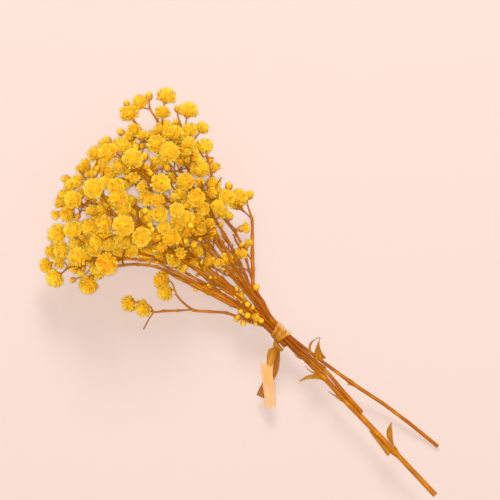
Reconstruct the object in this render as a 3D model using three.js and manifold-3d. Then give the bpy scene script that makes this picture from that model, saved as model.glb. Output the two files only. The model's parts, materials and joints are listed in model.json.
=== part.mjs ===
// A small bunch of dried gypsophila (baby's breath), dyed yellow and tied with a strip of raffia.
// It lies on a surface. Each spray is one grown piece: a stalk that the raffia holds, the twigs that fork
// from it, and a floret or a bud at the end of each twig. Millimetres, +Z up. +X runs along the bunch
// towards the cut ends, and Z = 0 is the surface that the bunch lies on.
import * as THREE from "three";
import { mergeVertices } from "three/addons/utils/BufferGeometryUtils.js";
import Module from "manifold-3d";

const wasm = await Module();
wasm.setup();

// ---- Driving dimensions -------------------------------------------------------------------------------

const TIE = { x: 9.5, y: 5, z: 8.5 }; // where the raffia holds the stalks; the plans below start there
const TIE_REACH = { crown: 6, cut: 3 }; // the stalks run side by side this far on each side of the raffia
const SLOT_RINGS = [0, 1.08, 2.1]; // and stand there in rings round the middle one
const STALK_RADIUS = 0.45;
const SPLAY = 0.03; // a cut end stands out from the others by this share of its ring for each millimetre

const SIDES = 5; // stalks and twigs have five sides, as florets have five petals in each layer
const TWIG_RADIUS = { root: 0.3, single: 0.38, few: 0.44, many: 0.5 }; // by how many heads a twig carries
const FEW_HEADS = 5;
const TWIG_SINK = 0.1; // how far a twig's root runs on past the middle of what it grows from
const FORK_REACH = { least: 0.3, perHead: 0.5, step: 0.05 }; // how far along to its heads a twig forks
const PEDICEL = { bare: 1, share: 0.75 }; // the stretch kept clear below a head, and the share grown bare
const OUTWARD = 0.7; // how strongly a head turns out of the crown, next to 1 for its own twig's direction

const DOME = { x: -70, y: -5, top: 38, least: 12.5, floor: 4.5, fall: 0.012 }; // the crown's upper side
const HEART = { x: -64, y: -1, z: 5 }; // florets turn away from this point inside the crown
const REST_SHARE = 0.72; // a floret that rests on the surface has its centre at this share of its radius
const BUD_LIMIT = 3.4; // a head that is smaller across than this is a closed bud
const BELL_LIMIT = 4.7; // and one that is smaller than this is half open

const GAP = 0.3; // clear space between sprays
const SETTLE = { rounds: 60, reach: 9, sideways: 0.35 }; // they give way up and down more than sideways
const PARALLEL = 1e-9; // lines whose directions differ by less than this count as parallel

const LEAF = { steps: 4, thickness: 0.7, least: 0.35, root: 0.18 }; // root: the share of a blade not grown
const RAFFIA = { thickness: 0.6, clearance: 0.15, steps: 15 };
const GROUND = { width: 300, depth: 20 }; // what is cut off below the surface, where florets rest

// ---- The sprays ---------------------------------------------------------------------------------------

// Each spray has its slot in the tie, as ring and angle, and either how far its cut end reaches below the
// raffia or the long stem that runs on there, as [x, y, z, radius] points. A branch is a route of [x, y, z]
// points, or [x, y, z, radius] where it is stout, from the tie or from a point of an earlier route, and the
// heads that fan out from the route's end, as [x, y, width, level]. Level 1 is the top of the crown and
// level 0 rests on the surface. A width of 0 is a bare twig end.
const SPRAYS = [
  {
    name: "spray_right_edge",
    slot: [2, 330],
    cutAt: 9,
    branches: [
      {
        route: [[-13, 3.6, 8.2], [-20, 5.6, 8, 0.65], [-29, 14, 8, 0.6], [-37.5, 22.4, 9]],
        heads: [[-44.8, 28.4, 3.2, 0.4]],
      },
      {
        route: [[-37.5, 22.4, 9]],
        heads: [
          [-47, 25, 6.5, 0.6], [-50, 22, 6, 0.75], [-46, 22.5, 5, 0.3], [-52.5, 25.2, 3, 0.6],
          [-54, 19.5, 4, 0.5],
        ],
      },
      {
        route: [[-20, 5.6, 8, 0.65], [-33, 13, 9.5]],
        heads: [[-37.7, 18.2, 4.5, 0.5], [-44.5, 17.5, 3, 0.6], [-48, 15.5, 5, 0.6], [-50.5, 16.5, 5, 0.7]],
      },
      { route: [[-13, 3.6, 8.2]], heads: [[-19, 5.2, 2.8, 0.9]] },
    ],
  },
  {
    name: "spray_right_top",
    slot: [2, 10],
    stem: [
      [16, 3.6, 7.9, 0.58], [28.9, 5.6, 6.6, 0.66], [30.7, 5.85, 6.4, 1], [32.5, 6.2, 6.2, 0.68],
      [45, 8.8, 4.4, 0.68], [57, 10.5, 2.7, 0.68], [70.5, 11.9, 0.55, 0.7],
    ],
    branches: [
      {
        route: [[-20, 4.8, 10], [-29, 8, 12], [-41, 11.5, 15]],
        heads: [
          [-57.8, 13.7, 6.5, 1], [-57, 21.8, 5, 0.75], [-61, 26.5, 4, 0.6], [-64.5, 22, 7, 0.8],
          [-64.2, 27, 2.5, 0.5], [-65, 15, 6.5, 1], [-53.5, 12.5, 5, 0.7], [-61, 18.5, 4, 0.8],
        ],
      },
    ],
  },
  {
    name: "spray_far_high",
    slot: [2, 50],
    cutAt: 13,
    branches: [
      {
        route: [[-20, 4.2, 12], [-32, 6.5, 16], [-45, 10, 20], [-60, 14, 24]],
        heads: [
          [-77, 18.5, 7.5, 1], [-82.3, 17.3, 7, 1], [-74, 26, 5.5, 0.9], [-77.2, 29.5, 6, 0.8],
          [-74.7, 33.5, 4.8, 0.6], [-80.2, 24.6, 7, 0.9], [-82.8, 34.3, 7, 0.8], [-86.3, 32, 2.5, 0.6],
          [-83, 28.3, 2.2, 0.7], [-71, 24.5, 5, 0.7], [-71.8, 28.5, 0, 0.75],
        ],
      },
    ],
  },
  {
    name: "spray_far_edge",
    slot: [1, 306],
    stem: [[12, 1.5, 7.2, 0.5], [20.5, 2.9, 6.9, 0.55]],
    branches: [
      {
        route: [[-20, 3, 9], [-35, 6, 9.5], [-50, 9, 11], [-66, 13, 12.5]],
        heads: [
          [-92.3, 32.3, 7, 0.8], [-97, 27.8, 3, 0.7], [-97.5, 23.8, 6, 0.8], [-97.3, 18.2, 6.5, 0.8],
          [-100.8, 20.2, 2.5, 0.6], [-100.2, 17.3, 2.2, 0.6], [-89, 27, 5.5, 0.8], [-84.3, 23.3, 7, 0.5],
          [-91.8, 15.2, 5, 0.75], [-88, 15.5, 4.5, 0.7], [-94.7, 11.2, 2.8, 0.7],
        ],
      },
    ],
  },
  {
    name: "spray_left_top",
    slot: [1, 90],
    cutAt: 15,
    branches: [
      {
        route: [[-20, 1.5, 12], [-35, 3, 16], [-50, 5, 21], [-62, 6, 25]],
        heads: [
          [-84.5, 7.5, 7.5, 1], [-90, 8, 6, 0.9], [-96, 5.5, 3, 0.8], [-92.5, 2.5, 7.5, 1],
          [-96, 3.5, 4, 0.7], [-82, 11, 3, 0.8], [-71, 8.3, 7, 1], [-74.5, 2.8, 4.5, 1],
          [-70.5, 1, 6, 0.85], [-81, 1.5, 2.5, 0.8], [-78, 12, 4, 0.9], [-86, 2, 6, 0.75],
        ],
      },
    ],
  },
  {
    name: "spray_left_edge",
    slot: [1, 162],
    cutAt: 4.5,
    branches: [
      {
        route: [[-20, -1.8, 10], [-35, -4.5, 11], [-50, -7, 13], [-66, -9, 15]],
        heads: [
          [-95.5, -1, 6, 0.8], [-95.3, -8.8, 4, 0.7], [-91, -7.8, 4.5, 0.75], [-86.8, -10.2, 7.5, 1],
          [-97, -15.4, 3, 0.6], [-93, -13, 5.5, 0.8], [-93.8, -16, 5, 0.7], [-89.5, -18.8, 6.5, 1],
          [-93, -20.3, 4.5, 0.7], [-91.8, -23, 4.5, 0.7], [-87, -24, 6, 0.8], [-90, -27, 4, 0.6],
        ],
      },
    ],
  },
  {
    name: "spray_top_centre",
    slot: [2, 90],
    cutAt: 6.5,
    branches: [
      {
        route: [[-12, -0.4, 11.7], [-20, -1, 14], [-32, -3, 19], [-45, -6, 25], [-56, -8.5, 29]],
        heads: [
          [-81.5, -4, 6.5, 1], [-78, -6.5, 7, 1], [-74, -8, 6, 0.9], [-69.5, -12.5, 8, 1],
          [-81.3, -17, 4.5, 1], [-75, -17, 7, 0.9], [-77.5, -21.5, 7, 0.9], [-72, -24, 6, 0.85],
          [-61.8, -10.5, 7, 1], [-63, -5.5, 2.5, 0.9], [-66, -4, 6, 0.8], [-85.5, -6.5, 5.5, 0.85],
        ],
      },
      {
        route: [[-12, -0.4, 11.7]],
        heads: [[-21.7, -1.1, 2.4, 0.95], [-19.2, 0.1, 3.4, 0.95], [-23.5, 0.5, 2, 0.9]],
      },
    ],
  },
  {
    name: "spray_low_left",
    slot: [2, 130],
    cutAt: 3.5,
    branches: [
      {
        route: [
          [-17, -3.2, 10], [-25, -5.3, 11, 0.6], [-32, -7.6, 12, 0.6], [-40, -9.8, 13], [-52, -13.5, 15],
        ],
        heads: [
          [-82, -26.5, 6.5, 0.85], [-84.5, -32, 7.5, 0.8], [-79.5, -35, 6, 0.8], [-81.8, -38, 5, 0.6],
          [-79.5, -43, 5.5, 0.5], [-74, -44, 7, 0.7], [-77, -38.5, 5, 0.7], [-70.5, -37, 1.8, 0.8],
          [-73.5, -32.5, 7, 0.9], [-71, -26, 5, 0.8], [-77, -30, 5.5, 0.6], [-69, -35, 4, 0.6],
        ],
      },
    ],
  },
  {
    name: "spray_low_near",
    slot: [2, 170],
    cutAt: 4.2,
    branches: [
      {
        route: [
          [-17, -3.7, 8, 0.6], [-21, -5, 8, 0.75], [-30, -7.8, 8, 0.8], [-42, -12.3, 8.5, 0.65],
          [-50, -15, 9.5], [-56, -19, 11],
        ],
        heads: [
          [-64, -26.8, 8, 1], [-63.5, -37, 7, 0.6], [-64.3, -32, 5, 0.35], [-68.8, -40, 2.2, 0.4],
          [-70, -31, 5, 0.6], [-66, -16, 7, 0.6], [-61, -17, 5, 0.5],
        ],
      },
    ],
  },
  {
    name: "spray_low_twig",
    slot: [2, 210],
    cutAt: 3.8,
    branches: [
      {
        route: [[-11.5, -4.6, 8], [-20, -8.5, 6.5], [-29.5, -16.5, 6]],
        heads: [[-45.5, -16, 7, 0.15], [-41.5, -18.8, 6.5, 0.12]],
      },
      {
        route: [[-29.5, -16.5, 6], [-37, -24.5, 5.5]],
        heads: [[-43, -29, 6.5, 0.15], [-48, -31.5, 6, 0.15], [-37.5, -34.5, 0, 0.1]],
      },
      {
        route: [[-11.5, -4.6, 8]],
        heads: [
          [-15.9, -7.2, 2.5, 0.6], [-16.7, -4.5, 2.1, 0.9], [-14, -3.7, 2.7, 0.95], [-11.6, -2, 3.4, 1],
          [-9.3, -1.5, 2.4, 1],
        ],
      },
    ],
  },
  {
    name: "spray_near_centre",
    slot: [0, 0],
    stem: [
      [10, -0.2, 8.45, 0.6], [20.7, 0, 8.6, 0.85], [22.5, 0.1, 8.6, 1.2], [24.3, 0.1, 8.6, 0.9],
      [33, -0.3, 8.8, 1.05], [58.6, -0.8, 9.2, 0.95], [60.4, -0.9, 9.3, 1.35], [62.4, -0.9, 9.3, 0.88],
      [82.3, -1.5, 9.8, 0.98],
    ],
    branches: [
      {
        route: [[-20, -0.7, 9, 0.8], [-30, -1.1, 9.5, 1], [-38, -2.4, 10.3, 0.85]],
        heads: [
          [-58.5, -2.5, 5, 0.9], [-54, -3, 6.5, 0.9], [-47.8, -4.5, 4.5, 0.9], [-47.5, -8.5, 5, 0.55],
          [-43.5, -8, 4, 0.5], [-63.5, 0, 6, 0.9], [-38.5, 1.5, 5, 0.45], [-50.5, -1, 5, 0.6],
          [-59, -7, 5.5, 0.6], [-42, -3.5, 4, 0.65],
        ],
      },
    ],
  },
  {
    name: "spray_near_top",
    slot: [1, 18],
    stem: [[12, 1.9, 9.1, 0.5], [22, 2.3, 9.9, 0.66], [31, 1.5, 10.4, 0.72], [41.5, 0.95, 10.5, 0.66]],
    branches: [
      {
        route: [[-20, 2, 10.5], [-30, 3.5, 12], [-42, 4.5, 15]],
        heads: [
          [-67, 3, 5, 1], [-59.7, 5.5, 5.5, 1], [-55, 6, 6, 0.85], [-52, 8.5, 6, 0.6],
          [-63, 10, 5, 0.6], [-49, 6, 5, 0.6], [-56, 2.5, 6, 0.7], [-46.5, 1, 3, 0.8],
          [-52, 3, 5.5, 0.65], [-58.5, 9.5, 5, 0.5], [-46.5, 9.5, 4.5, 0.5],
        ],
      },
    ],
  },
  {
    name: "spray_under_left",
    slot: [1, 234],
    cutAt: 11,
    branches: [
      {
        route: [[-20, -1, 7], [-40, -2, 6], [-56, -2, 5]],
        heads: [
          [-91, -3, 6, 0.4], [-86.5, -3, 7, 0.45], [-80, -13.5, 6, 0.35], [-85, -14.5, 4, 0.3],
          [-78.5, 7, 6, 0.5], [-83, 4, 6, 0], [-90, 10, 6, 0.25], [-74, -5, 6, 0.1],
          [-72, -9, 6, 0.4],
        ],
      },
    ],
  },
  {
    name: "spray_under_low",
    slot: [2, 250],
    cutAt: 8,
    branches: [
      {
        route: [[-20, -3, 5.5], [-35, -7, 4.5], [-50, -11, 4]],
        heads: [
          [-69, -21, 6, 0.4], [-76, -27, 5, 0.4], [-80, -25, 6, 0], [-57, -14, 6, 0],
          [-72, -36, 5, 0.15], [-66, -9, 5, 0.15], [-72, -20, 6, 0.55], [-63, -21, 6, 0.35],
        ],
      },
    ],
  },
  {
    name: "spray_under_top",
    slot: [2, 290],
    cutAt: 14,
    branches: [
      {
        route: [[-20, 2.5, 5.5], [-36, 7, 4.5], [-50, 11, 4]],
        heads: [
          [-71.5, 20.5, 6.5, 0.5], [-73.2, 14, 3, 0.5], [-70, 12, 4, 0.35], [-82, 25, 6, 0],
          [-57, 15, 6, 0], [-66, 4, 5, 0.1], [-52, 21, 5, 0.25], [-77, 14.5, 5, 0.45],
        ],
      },
    ],
  },
];

// Narrow leaves on the long stems: the spray, a route from root to tip, and the width in the middle.
const LEAVES = [
  { spray: "spray_right_top", width: 3.2, route: [[16.8, 3.8, 7.9], [14, 5, 9.4], [11.2, 9.3, 10.5]] },
  { spray: "spray_right_top", width: 0.9, route: [[12.5, 3.2, 8.2], [8.6, 4.6, 9.4], [10.6, 9.4, 9.6]] },
  { spray: "spray_right_top", width: 0.9, route: [[31.2, 5.8, 6.3], [30.9, 5, 7.2], [30.3, 4, 7.2]] },
  { spray: "spray_near_centre", width: 1.6, route: [[22.8, -0.2, 8.5], [18.4, -1.6, 9.8], [16.9, -7.3, 9]] },
  { spray: "spray_near_centre", width: 0.9, route: [[33.2, -0.7, 8.9], [30.5, -1.7, 9.4], [27, -2.4, 9.2]] },
  { spray: "spray_near_centre", width: 2, route: [[60.4, -0.6, 9.6], [56, 1.2, 11.4], [51.5, 6.2, 12]] },
  { spray: "spray_near_centre", width: 2, route: [[60.4, -1.3, 9.1], [56, -2.6, 8.5], [48.3, -2.2, 8]] },
];

// The raffia: two turns round the stalks, the knot at their side, and three stretches that stand out there.
// A turn has its place along the bunch, its lean and its width. The rest are points [x, y, z, width], or
// for the knot [x, y, z, radius], with the way that the strip's upper face looks at each.
const TURNS = [
  { at: -1.3, lean: -0.27, width: 4.1, lift: 0 },
  { at: 0.9, lean: 0.22, width: 1.6, lift: 0.25 },
];
const KNOT = [[0.2, -3.7, 9.3, 0.6], [1.6, -4.1, 8.9, 1.1], [3.1, -4, 8.8, 0.95], [4.3, -3.3, 9, 0.5]];
const LOOSE = [
  {
    points: [[2, -5.2, 7.5, 2], [2.2, -6.5, 7.3, 3.8], [3.5, -8.7, 7, 3.3], [4.9, -11, 6.7, 2.4]],
    faces: [[-0.3, -0.5, 0.8], [-0.3, -0.3, 0.9], [-0.2, -0.2, 1], [0, 0, 1]],
  },
  {
    points: [
      [3.2, -5, 7.2, 1.6], [5.2, -7.6, 6.4, 2.6], [7.5, -11, 5.7, 3], [8.4, -13.6, 5.4, 3],
      [9.5, -18, 5.2, 3], [10.8, -21.6, 5, 3],
    ],
    faces: [[0.3, -0.4, 0.8], [0.2, -0.2, 0.9], [0, 0, 1], [0, 0, 1], [0, 0, 1], [0, 0, 1]],
  },
  {
    points: [
      [3.4, -11.6, 6.1, 2.6], [5.2, -12.9, 6.5, 4], [8.7, -15.4, 6.6, 4.3], [11, -17.3, 6.1, 4.3],
      [16.3, -21.7, 5.6, 4],
    ],
    faces: [[0, 0, 1], [0, 0, 1], [0, 0, 1], [0, 0, 1], [0, 0, 1]],
  },
];

// ---- Closed shapes from rings of points ---------------------------------------------------------------

const vector = ([x, y, z]) => new THREE.Vector3(x, y, z);
const towards = (from, to) => new THREE.Vector3().subVectors(to, from).normalize();
const middleOf = (points) =>
  points.reduce((sum, point) => sum.add(point), new THREE.Vector3()).divideScalar(points.length);
const UP = new THREE.Vector3(0, 0, 1);

const manifoldOf = (vertProperties, triVerts) =>
  new wasm.Manifold(new wasm.Mesh({ numProp: 3, vertProperties, triVerts }));

function solidOf(points, triangles) {
  const places = new Float32Array(points.flatMap((p) => [p.x, p.y, p.z]));
  return manifoldOf(places, new Uint32Array(triangles));
}

// The triangles between two rings. The second may have as many points as the first, twice as many or half.
function stitch(here, count, next, nextCount) {
  const triangles = [];
  const low = Math.min(count, nextCount);
  for (let k = 0; k < low; k++) {
    const m = (k + 1) % low;
    const between = 2 * k + 1;
    const beyond = 2 * m;
    if (count === nextCount) {
      triangles.push(here + k, here + m, next + m, here + k, next + m, next + k);
    } else if (count < nextCount) {
      triangles.push(here + k, next + between, next + 2 * k, here + k, here + m, next + between);
      triangles.push(here + m, next + beyond, next + between);
    } else {
      triangles.push(here + 2 * k, here + between, next + k, here + between, next + m, next + k);
      triangles.push(here + between, here + beyond, next + m);
    }
  }
  return triangles;
}

// A solid through rings of points, closed at each end by a fan to a tip, or joined end to end as a loop.
function loft(rings, { tip, loop = false } = {}) {
  const points = rings.flat();
  const starts = rings.map((_, i) => rings.slice(0, i).reduce((sum, ring) => sum + ring.length, 0));
  const triangles = rings.flatMap((ring, i) => {
    const after = (i + 1) % rings.length;
    if (after === 0 && !loop) return [];
    return stitch(starts[i], ring.length, starts[after], rings[after].length);
  });
  if (!loop) {
    const first = rings[0];
    const last = rings[rings.length - 1];
    points.push(middleOf(first), tip ?? middleOf(last));
    first.forEach((_, k) => triangles.push(points.length - 2, (k + 1) % first.length, k));
    const start = starts[rings.length - 1];
    last.forEach((_, k) => triangles.push(points.length - 1, start + k, start + ((k + 1) % last.length)));
  }
  return solidOf(points, triangles);
}

// Rings about a row of stations. A station has its place, its direction and its profile, whose points have
// a turn, a distance and a height along the direction. Each ring is turned as little as it can be.
function ringsAt(stations) {
  const across = new THREE.Vector3().crossVectors(stations[0].direction, UP).normalize();
  return stations.map(({ place, direction, profile }) => {
    across.projectOnPlane(direction).normalize();
    const over = new THREE.Vector3().crossVectors(direction, across);
    return profile.map(({ turn, distance, height = 0 }) =>
      place
        .clone()
        .addScaledVector(across, distance * Math.cos(turn))
        .addScaledVector(over, distance * Math.sin(turn))
        .addScaledVector(direction, height),
    );
  });
}

const round = (radius) =>
  Array.from({ length: SIDES }, (_, k) => ({ turn: (2 * Math.PI * k) / SIDES, distance: radius }));

// Stations along a row of points, with a radius at each.
function rodStations(places, radii) {
  return places.map((place, i) => ({
    place,
    direction: towards(places[Math.max(i - 1, 0)], places[Math.min(i + 1, places.length - 1)]),
    profile: round(radii[i]),
  }));
}

// ---- Florets, bells, buds and leaves ------------------------------------------------------------------

// A layer of petals: their tips, and the hollows between them. Both are shares of the head's radius.
function petals(radius, { tip, hollow }) {
  return Array.from({ length: 2 * SIDES }, (_, k) => {
    const [distance, height] = k % 2 ? tip : hollow;
    return { turn: (Math.PI * k) / SIDES, distance: distance * radius, height: height * radius };
  });
}

const ringAtHeight = (radius, [distance, height], turned = 0) =>
  round(distance * radius).map((point) => ({ ...point, turn: point.turn + turned, height: height * radius }));

// What stands on the end of a twig: where it starts below its centre, its rings, and its last point. Its
// places are shares of its radius: a ring is [distance, height], and petals have tips and hollows.
const HEADS = {
  floret: {
    root: 0.74,
    rings: (r) => [
      ringAtHeight(r, [0.4, -0.42]),
      petals(r, { tip: [0.98, 0.06], hollow: [0.66, -0.06] }),
      ringAtHeight(r, [0.58, 0.2]),
      ringAtHeight(r, [0.7, 0.58], -Math.PI / SIDES),
    ],
    tip: 0.42,
  },
  bell: {
    root: 1,
    rings: (r) => [
      ringAtHeight(r, [0.6, -0.4]),
      petals(r, { tip: [1, 0.5], hollow: [0.66, 0.32] }),
    ],
    tip: 0.8,
  },
  bud: {
    root: 1.1,
    rings: (r) => [ringAtHeight(r, [0.9, -0.35]), ringAtHeight(r, [0.8, 0.5])],
    tip: 1.1,
  },
};
function headKind(width) {
  if (width < BUD_LIMIT) return HEADS.bud;
  return width < BELL_LIMIT ? HEADS.bell : HEADS.floret;
}

// A narrow leaf: a curved blade that is widest in the middle and runs out to a point.
function leaf({ route, width }) {
  const curve = new THREE.QuadraticBezierCurve3(...route.map(vector));
  const stations = Array.from({ length: LEAF.steps + 1 }, (_, i) => {
    const along = i / LEAF.steps;
    const swell = Math.sin(Math.PI * (LEAF.root + (1 - LEAF.root) * along));
    const half = Math.max(LEAF.least, (width / 2) * swell);
    const profile = [half, LEAF.thickness / 2, half, LEAF.thickness / 2].map((distance, k) => ({
      turn: (Math.PI * k) / 2,
      distance,
    }));
    return { place: curve.getPoint(along), direction: curve.getTangent(along), profile };
  });
  return loft(ringsAt(stations));
}

// ---- How a spray grows --------------------------------------------------------------------------------

// The height of a head, by its level between the surface and the crown's upper side.
function headHeight(x, y, width, level) {
  if (level === 0) return (REST_SHARE * width) / 2;
  const top = DOME.top - DOME.fall * ((x - DOME.x) ** 2 + (y - DOME.y) ** 2);
  return DOME.floor + (Math.max(top, DOME.least) - DOME.floor) * level;
}

const headAt = ([x, y, width, level]) => ({ place: vector([x, y, headHeight(x, y, width, level)]), width });

// A spray's skeleton: the joints that hold its places, and its lines. A line runs through joints, with a
// radius at each, and ends in a head, or bare. Each fork carries the straighter line on and starts another.
function plan({ name, slot: [ring, angle], cutAt, stem, branches }) {
  const turn = THREE.MathUtils.degToRad(angle);
  const slotAt = (x, spread = 1) => {
    const distance = SLOT_RINGS[ring] * spread;
    return [x, distance * Math.cos(turn), TIE.z + distance * Math.sin(turn)];
  };
  const joints = [];
  const lines = [];
  const addJoint = (place, held = false) => joints.push({ place, held }) - 1;
  const addTo = (line, joint, radius) => {
    line.joints.push(joint);
    line.radii.push(radius);
  };
  const newLine = (joint, radius) => {
    const line = { joints: [joint], radii: [radius], width: 0 };
    lines.push(line);
    return line;
  };

  const grow = (line, heads) => {
    if (heads.length === 1) {
      addTo(line, addJoint(heads[0].place), TWIG_RADIUS.single);
      line.width = heads[0].width;
      return;
    }
    const from = joints[line.joints.at(-1)].place;
    const middle = middleOf(heads.map(({ place }) => place));
    let reach = FORK_REACH.least + FORK_REACH.perHead / heads.length;
    const forkAt = () => from.clone().lerp(middle, reach);
    const crowded = ({ place, width }) => forkAt().distanceTo(place) < width / 2 + PEDICEL.bare;
    while (reach > 2 * FORK_REACH.step && heads.some(crowded)) reach -= FORK_REACH.step;
    const fork = addJoint(forkAt());
    const ahead = towards(from, joints[fork].place);
    addTo(line, fork, heads.length > FEW_HEADS ? TWIG_RADIUS.many : TWIG_RADIUS.few);

    const spread = (axis) => {
      const values = heads.map(({ place }) => place[axis]);
      return Math.max(...values) - Math.min(...values);
    };
    const widest = ["x", "y", "z"].reduce((best, axis) => (spread(axis) > spread(best) ? axis : best));
    const sorted = [...heads].sort((p, q) => p.place[widest] - q.place[widest]);
    const half = Math.ceil(sorted.length / 2);
    const halves = [sorted.slice(0, half), sorted.slice(half)];
    const [first, second] = halves.map((group) =>
      towards(joints[fork].place, middleOf(group.map(({ place }) => place))).dot(ahead),
    );
    const [straighter, other] = first < second ? [...halves].reverse() : halves;
    grow(line, straighter);
    grow(newLine(fork, TWIG_RADIUS.root), other);
  };

  // The stalk, from its cut end or its long stem, through the raffia.
  const cutEnd = () => [...slotAt(cutAt, 1 + SPLAY * (cutAt - TIE_REACH.cut)), STALK_RADIUS];
  const below = stem ? [...stem].reverse() : [cutEnd()];
  const inRaffia = [TIE_REACH.cut, -TIE_REACH.crown].map((x) => [...slotAt(x), STALK_RADIUS]);
  const [end, ...rest] = [...below, ...inRaffia];
  const stalk = newLine(addJoint(vector(end), true), end[3]);
  for (const point of rest) addTo(stalk, addJoint(vector(point), true), point[3]);

  branches.forEach(({ route, heads }, i) => {
    const [x, y, z] = route[0];
    const start = joints.findIndex(({ place }) => place.x === x && place.y === y && place.z === z);
    const line = i === 0 ? stalk : newLine(start, TWIG_RADIUS.root);
    const onward = i === 0 ? route : route.slice(1);
    for (const point of onward) addTo(line, addJoint(vector(point)), point[3] ?? TWIG_RADIUS.many);
    grow(line, heads.map(headAt));
  });
  return { name, joints, lines };
}

// The nearest points of two straight pieces, as shares of the way along each.
function nearest(p, q) {
  const u = new THREE.Vector3().subVectors(p.b.place, p.a.place);
  const v = new THREE.Vector3().subVectors(q.b.place, q.a.place);
  const w = new THREE.Vector3().subVectors(p.a.place, q.a.place);
  const [uu, vv, uv, uw, vw] = [u.dot(u), v.dot(v), u.dot(v), u.dot(w), v.dot(w)];
  const clamp = (value) => Math.min(Math.max(value, 0), 1);
  const cross = uu * vv - uv * uv;
  let s = cross > PARALLEL ? clamp((uv * vw - vv * uw) / cross) : 0;
  const t = vv > 0 ? clamp((uv * s + vw) / vv) : 0;
  s = uu > 0 ? clamp((uv * t - uw) / uu) : 0;
  const apart = w.addScaledVector(u, s).addScaledVector(v, -t);
  return { s, t, apart };
}

// The tied sprays press against each other and give way, until each lies clear of the others.
function settle(plans) {
  const pieces = plans.flatMap(({ joints, lines }, spray) =>
    lines.flatMap(({ joints: path, radii, width }) => {
      const twigs = path.slice(1).map((joint, i) => ({
        spray,
        a: joints[path[i]],
        b: joints[joint],
        radius: Math.max(radii[i], radii[i + 1]),
      }));
      const end = joints[path.at(-1)];
      return [...twigs, { spray, a: end, b: end, radius: width / 2 }];
    }),
  );
  const near = (p, q) => nearest(p, q).apart.length() < p.radius + q.radius + SETTLE.reach;
  const pairs = pieces.flatMap((p, i) => {
    const others = pieces.slice(i + 1).filter((q) => q.spray !== p.spray && near(p, q));
    return others.map((q) => [p, q]);
  });
  const give = (joint, push, share) => {
    if (joint.held) return;
    joint.place.x += push.x * SETTLE.sideways * share;
    joint.place.y += push.y * SETTLE.sideways * share;
    joint.place.z += push.z * share;
  };
  for (let turn = 0; turn < SETTLE.rounds; turn++) {
    for (const [p, q] of pairs) {
      const { s, t, apart } = nearest(p, q);
      const room = apart.length();
      const wanted = p.radius + q.radius + GAP;
      if (room >= wanted) continue;
      const push = (room > 0 ? apart : UP.clone()).setLength((wanted - room) / 2);
      give(p.a, push, 1 - s);
      give(p.b, push, s);
      push.negate();
      give(q.a, push, 1 - t);
      give(q.b, push, t);
    }
    for (const { a, b, radius } of pieces) {
      const least = a === b ? REST_SHARE * radius : radius;
      a.place.z = Math.max(a.place.z, least);
      b.place.z = Math.max(b.place.z, least);
    }
  }
}

// One line of a spray: a rod through its joints that ends in its head.
function lineSolid(joints, { joints: path, radii, width }) {
  const places = path.map((joint) => joints[joint].place.clone());
  const first = places[0];
  first.addScaledVector(towards(places[1], first), TWIG_SINK);
  if (!width) return loft(ringsAt(rodStations(places, radii)));

  const radius = width / 2;
  const { root, rings, tip } = headKind(width);
  const centre = places.pop();
  const pedicel = new THREE.Vector3().subVectors(centre, places.at(-1));
  const outward = towards(vector([HEART.x, HEART.y, HEART.z]), centre);
  const facing = pedicel.clone().normalize().addScaledVector(outward, OUTWARD).normalize();
  const on = (share) => centre.clone().addScaledVector(facing, share * radius);
  const rootAt = -Math.min(root, (PEDICEL.share * pedicel.length()) / radius);
  const stations = rodStations([...places, on(rootAt)], radii);
  stations.at(-1).direction = facing;
  for (const profile of rings(radius)) stations.push({ place: centre, direction: facing, profile });
  return loft(ringsAt(stations), { tip: on(tip) });
}

const joined = (solids) => solids.reduce((whole, solid) => whole.add(solid));

// ---- The raffia ---------------------------------------------------------------------------------------

// The rings of a flat strip: four corners at each of its points, which are [x, y, z, width], with one face
// turned to the side given for the point.
function stripRings(points, faces) {
  const places = points.map(vector);
  return places.map((place, i) => {
    const direction = towards(places[Math.max(i - 1, 0)], places[Math.min(i + 1, places.length - 1)]);
    const across = new THREE.Vector3().crossVectors(direction, faces[i]).normalize();
    const over = faces[i].clone().projectOnPlane(across).normalize();
    return [[-1, -1], [-1, 1], [1, 1], [1, -1]].map(([a, b]) =>
      place
        .clone()
        .addScaledVector(across, (a * points[i][3]) / 2)
        .addScaledVector(over, (b * RAFFIA.thickness) / 2),
    );
  });
}

// A turn of the strip round the stalks, which leans along them.
function wrap({ at, lean, width, lift }) {
  const distance = SLOT_RINGS[2] + STALK_RADIUS + RAFFIA.clearance + RAFFIA.thickness / 2 + lift;
  const rings = Array.from({ length: RAFFIA.steps }, (_, k) => {
    const turn = (2 * Math.PI * k) / RAFFIA.steps;
    const y = distance * Math.cos(turn);
    const z = distance * Math.sin(turn);
    const out = new THREE.Vector3(0, y, z).setLength(RAFFIA.thickness / 2);
    const place = new THREE.Vector3(at + lean * y, y, TIE.z + z);
    return [[1, -1], [1, 1], [-1, 1], [-1, -1]].map(([a, b]) =>
      place
        .clone()
        .addScaledVector(out, b)
        .add(new THREE.Vector3((a * width) / 2, 0, 0)),
    );
  });
  return loft(rings, { loop: true });
}

// ---- The bunch ----------------------------------------------------------------------------------------

const YELLOW = new THREE.MeshStandardMaterial({ name: "dyed_yellow", color: 0xf2b71f, roughness: 0.85 });
const OCHRE = new THREE.MeshStandardMaterial({ name: "raffia", color: 0xcf9a3c, roughness: 0.7 });

const bunch = new THREE.Group();
bunch.position.set(TIE.x, TIE.y, 0);

function addNode(name, solid, material) {
  const { vertProperties, triVerts } = solid.getMesh();
  const geometry = new THREE.BufferGeometry();
  geometry.setAttribute("position", new THREE.BufferAttribute(vertProperties, 3));
  geometry.setIndex(new THREE.BufferAttribute(triVerts, 1));
  geometry.computeVertexNormals();
  const mesh = new THREE.Mesh(geometry, material);
  mesh.name = name;
  bunch.add(mesh);
}

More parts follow.
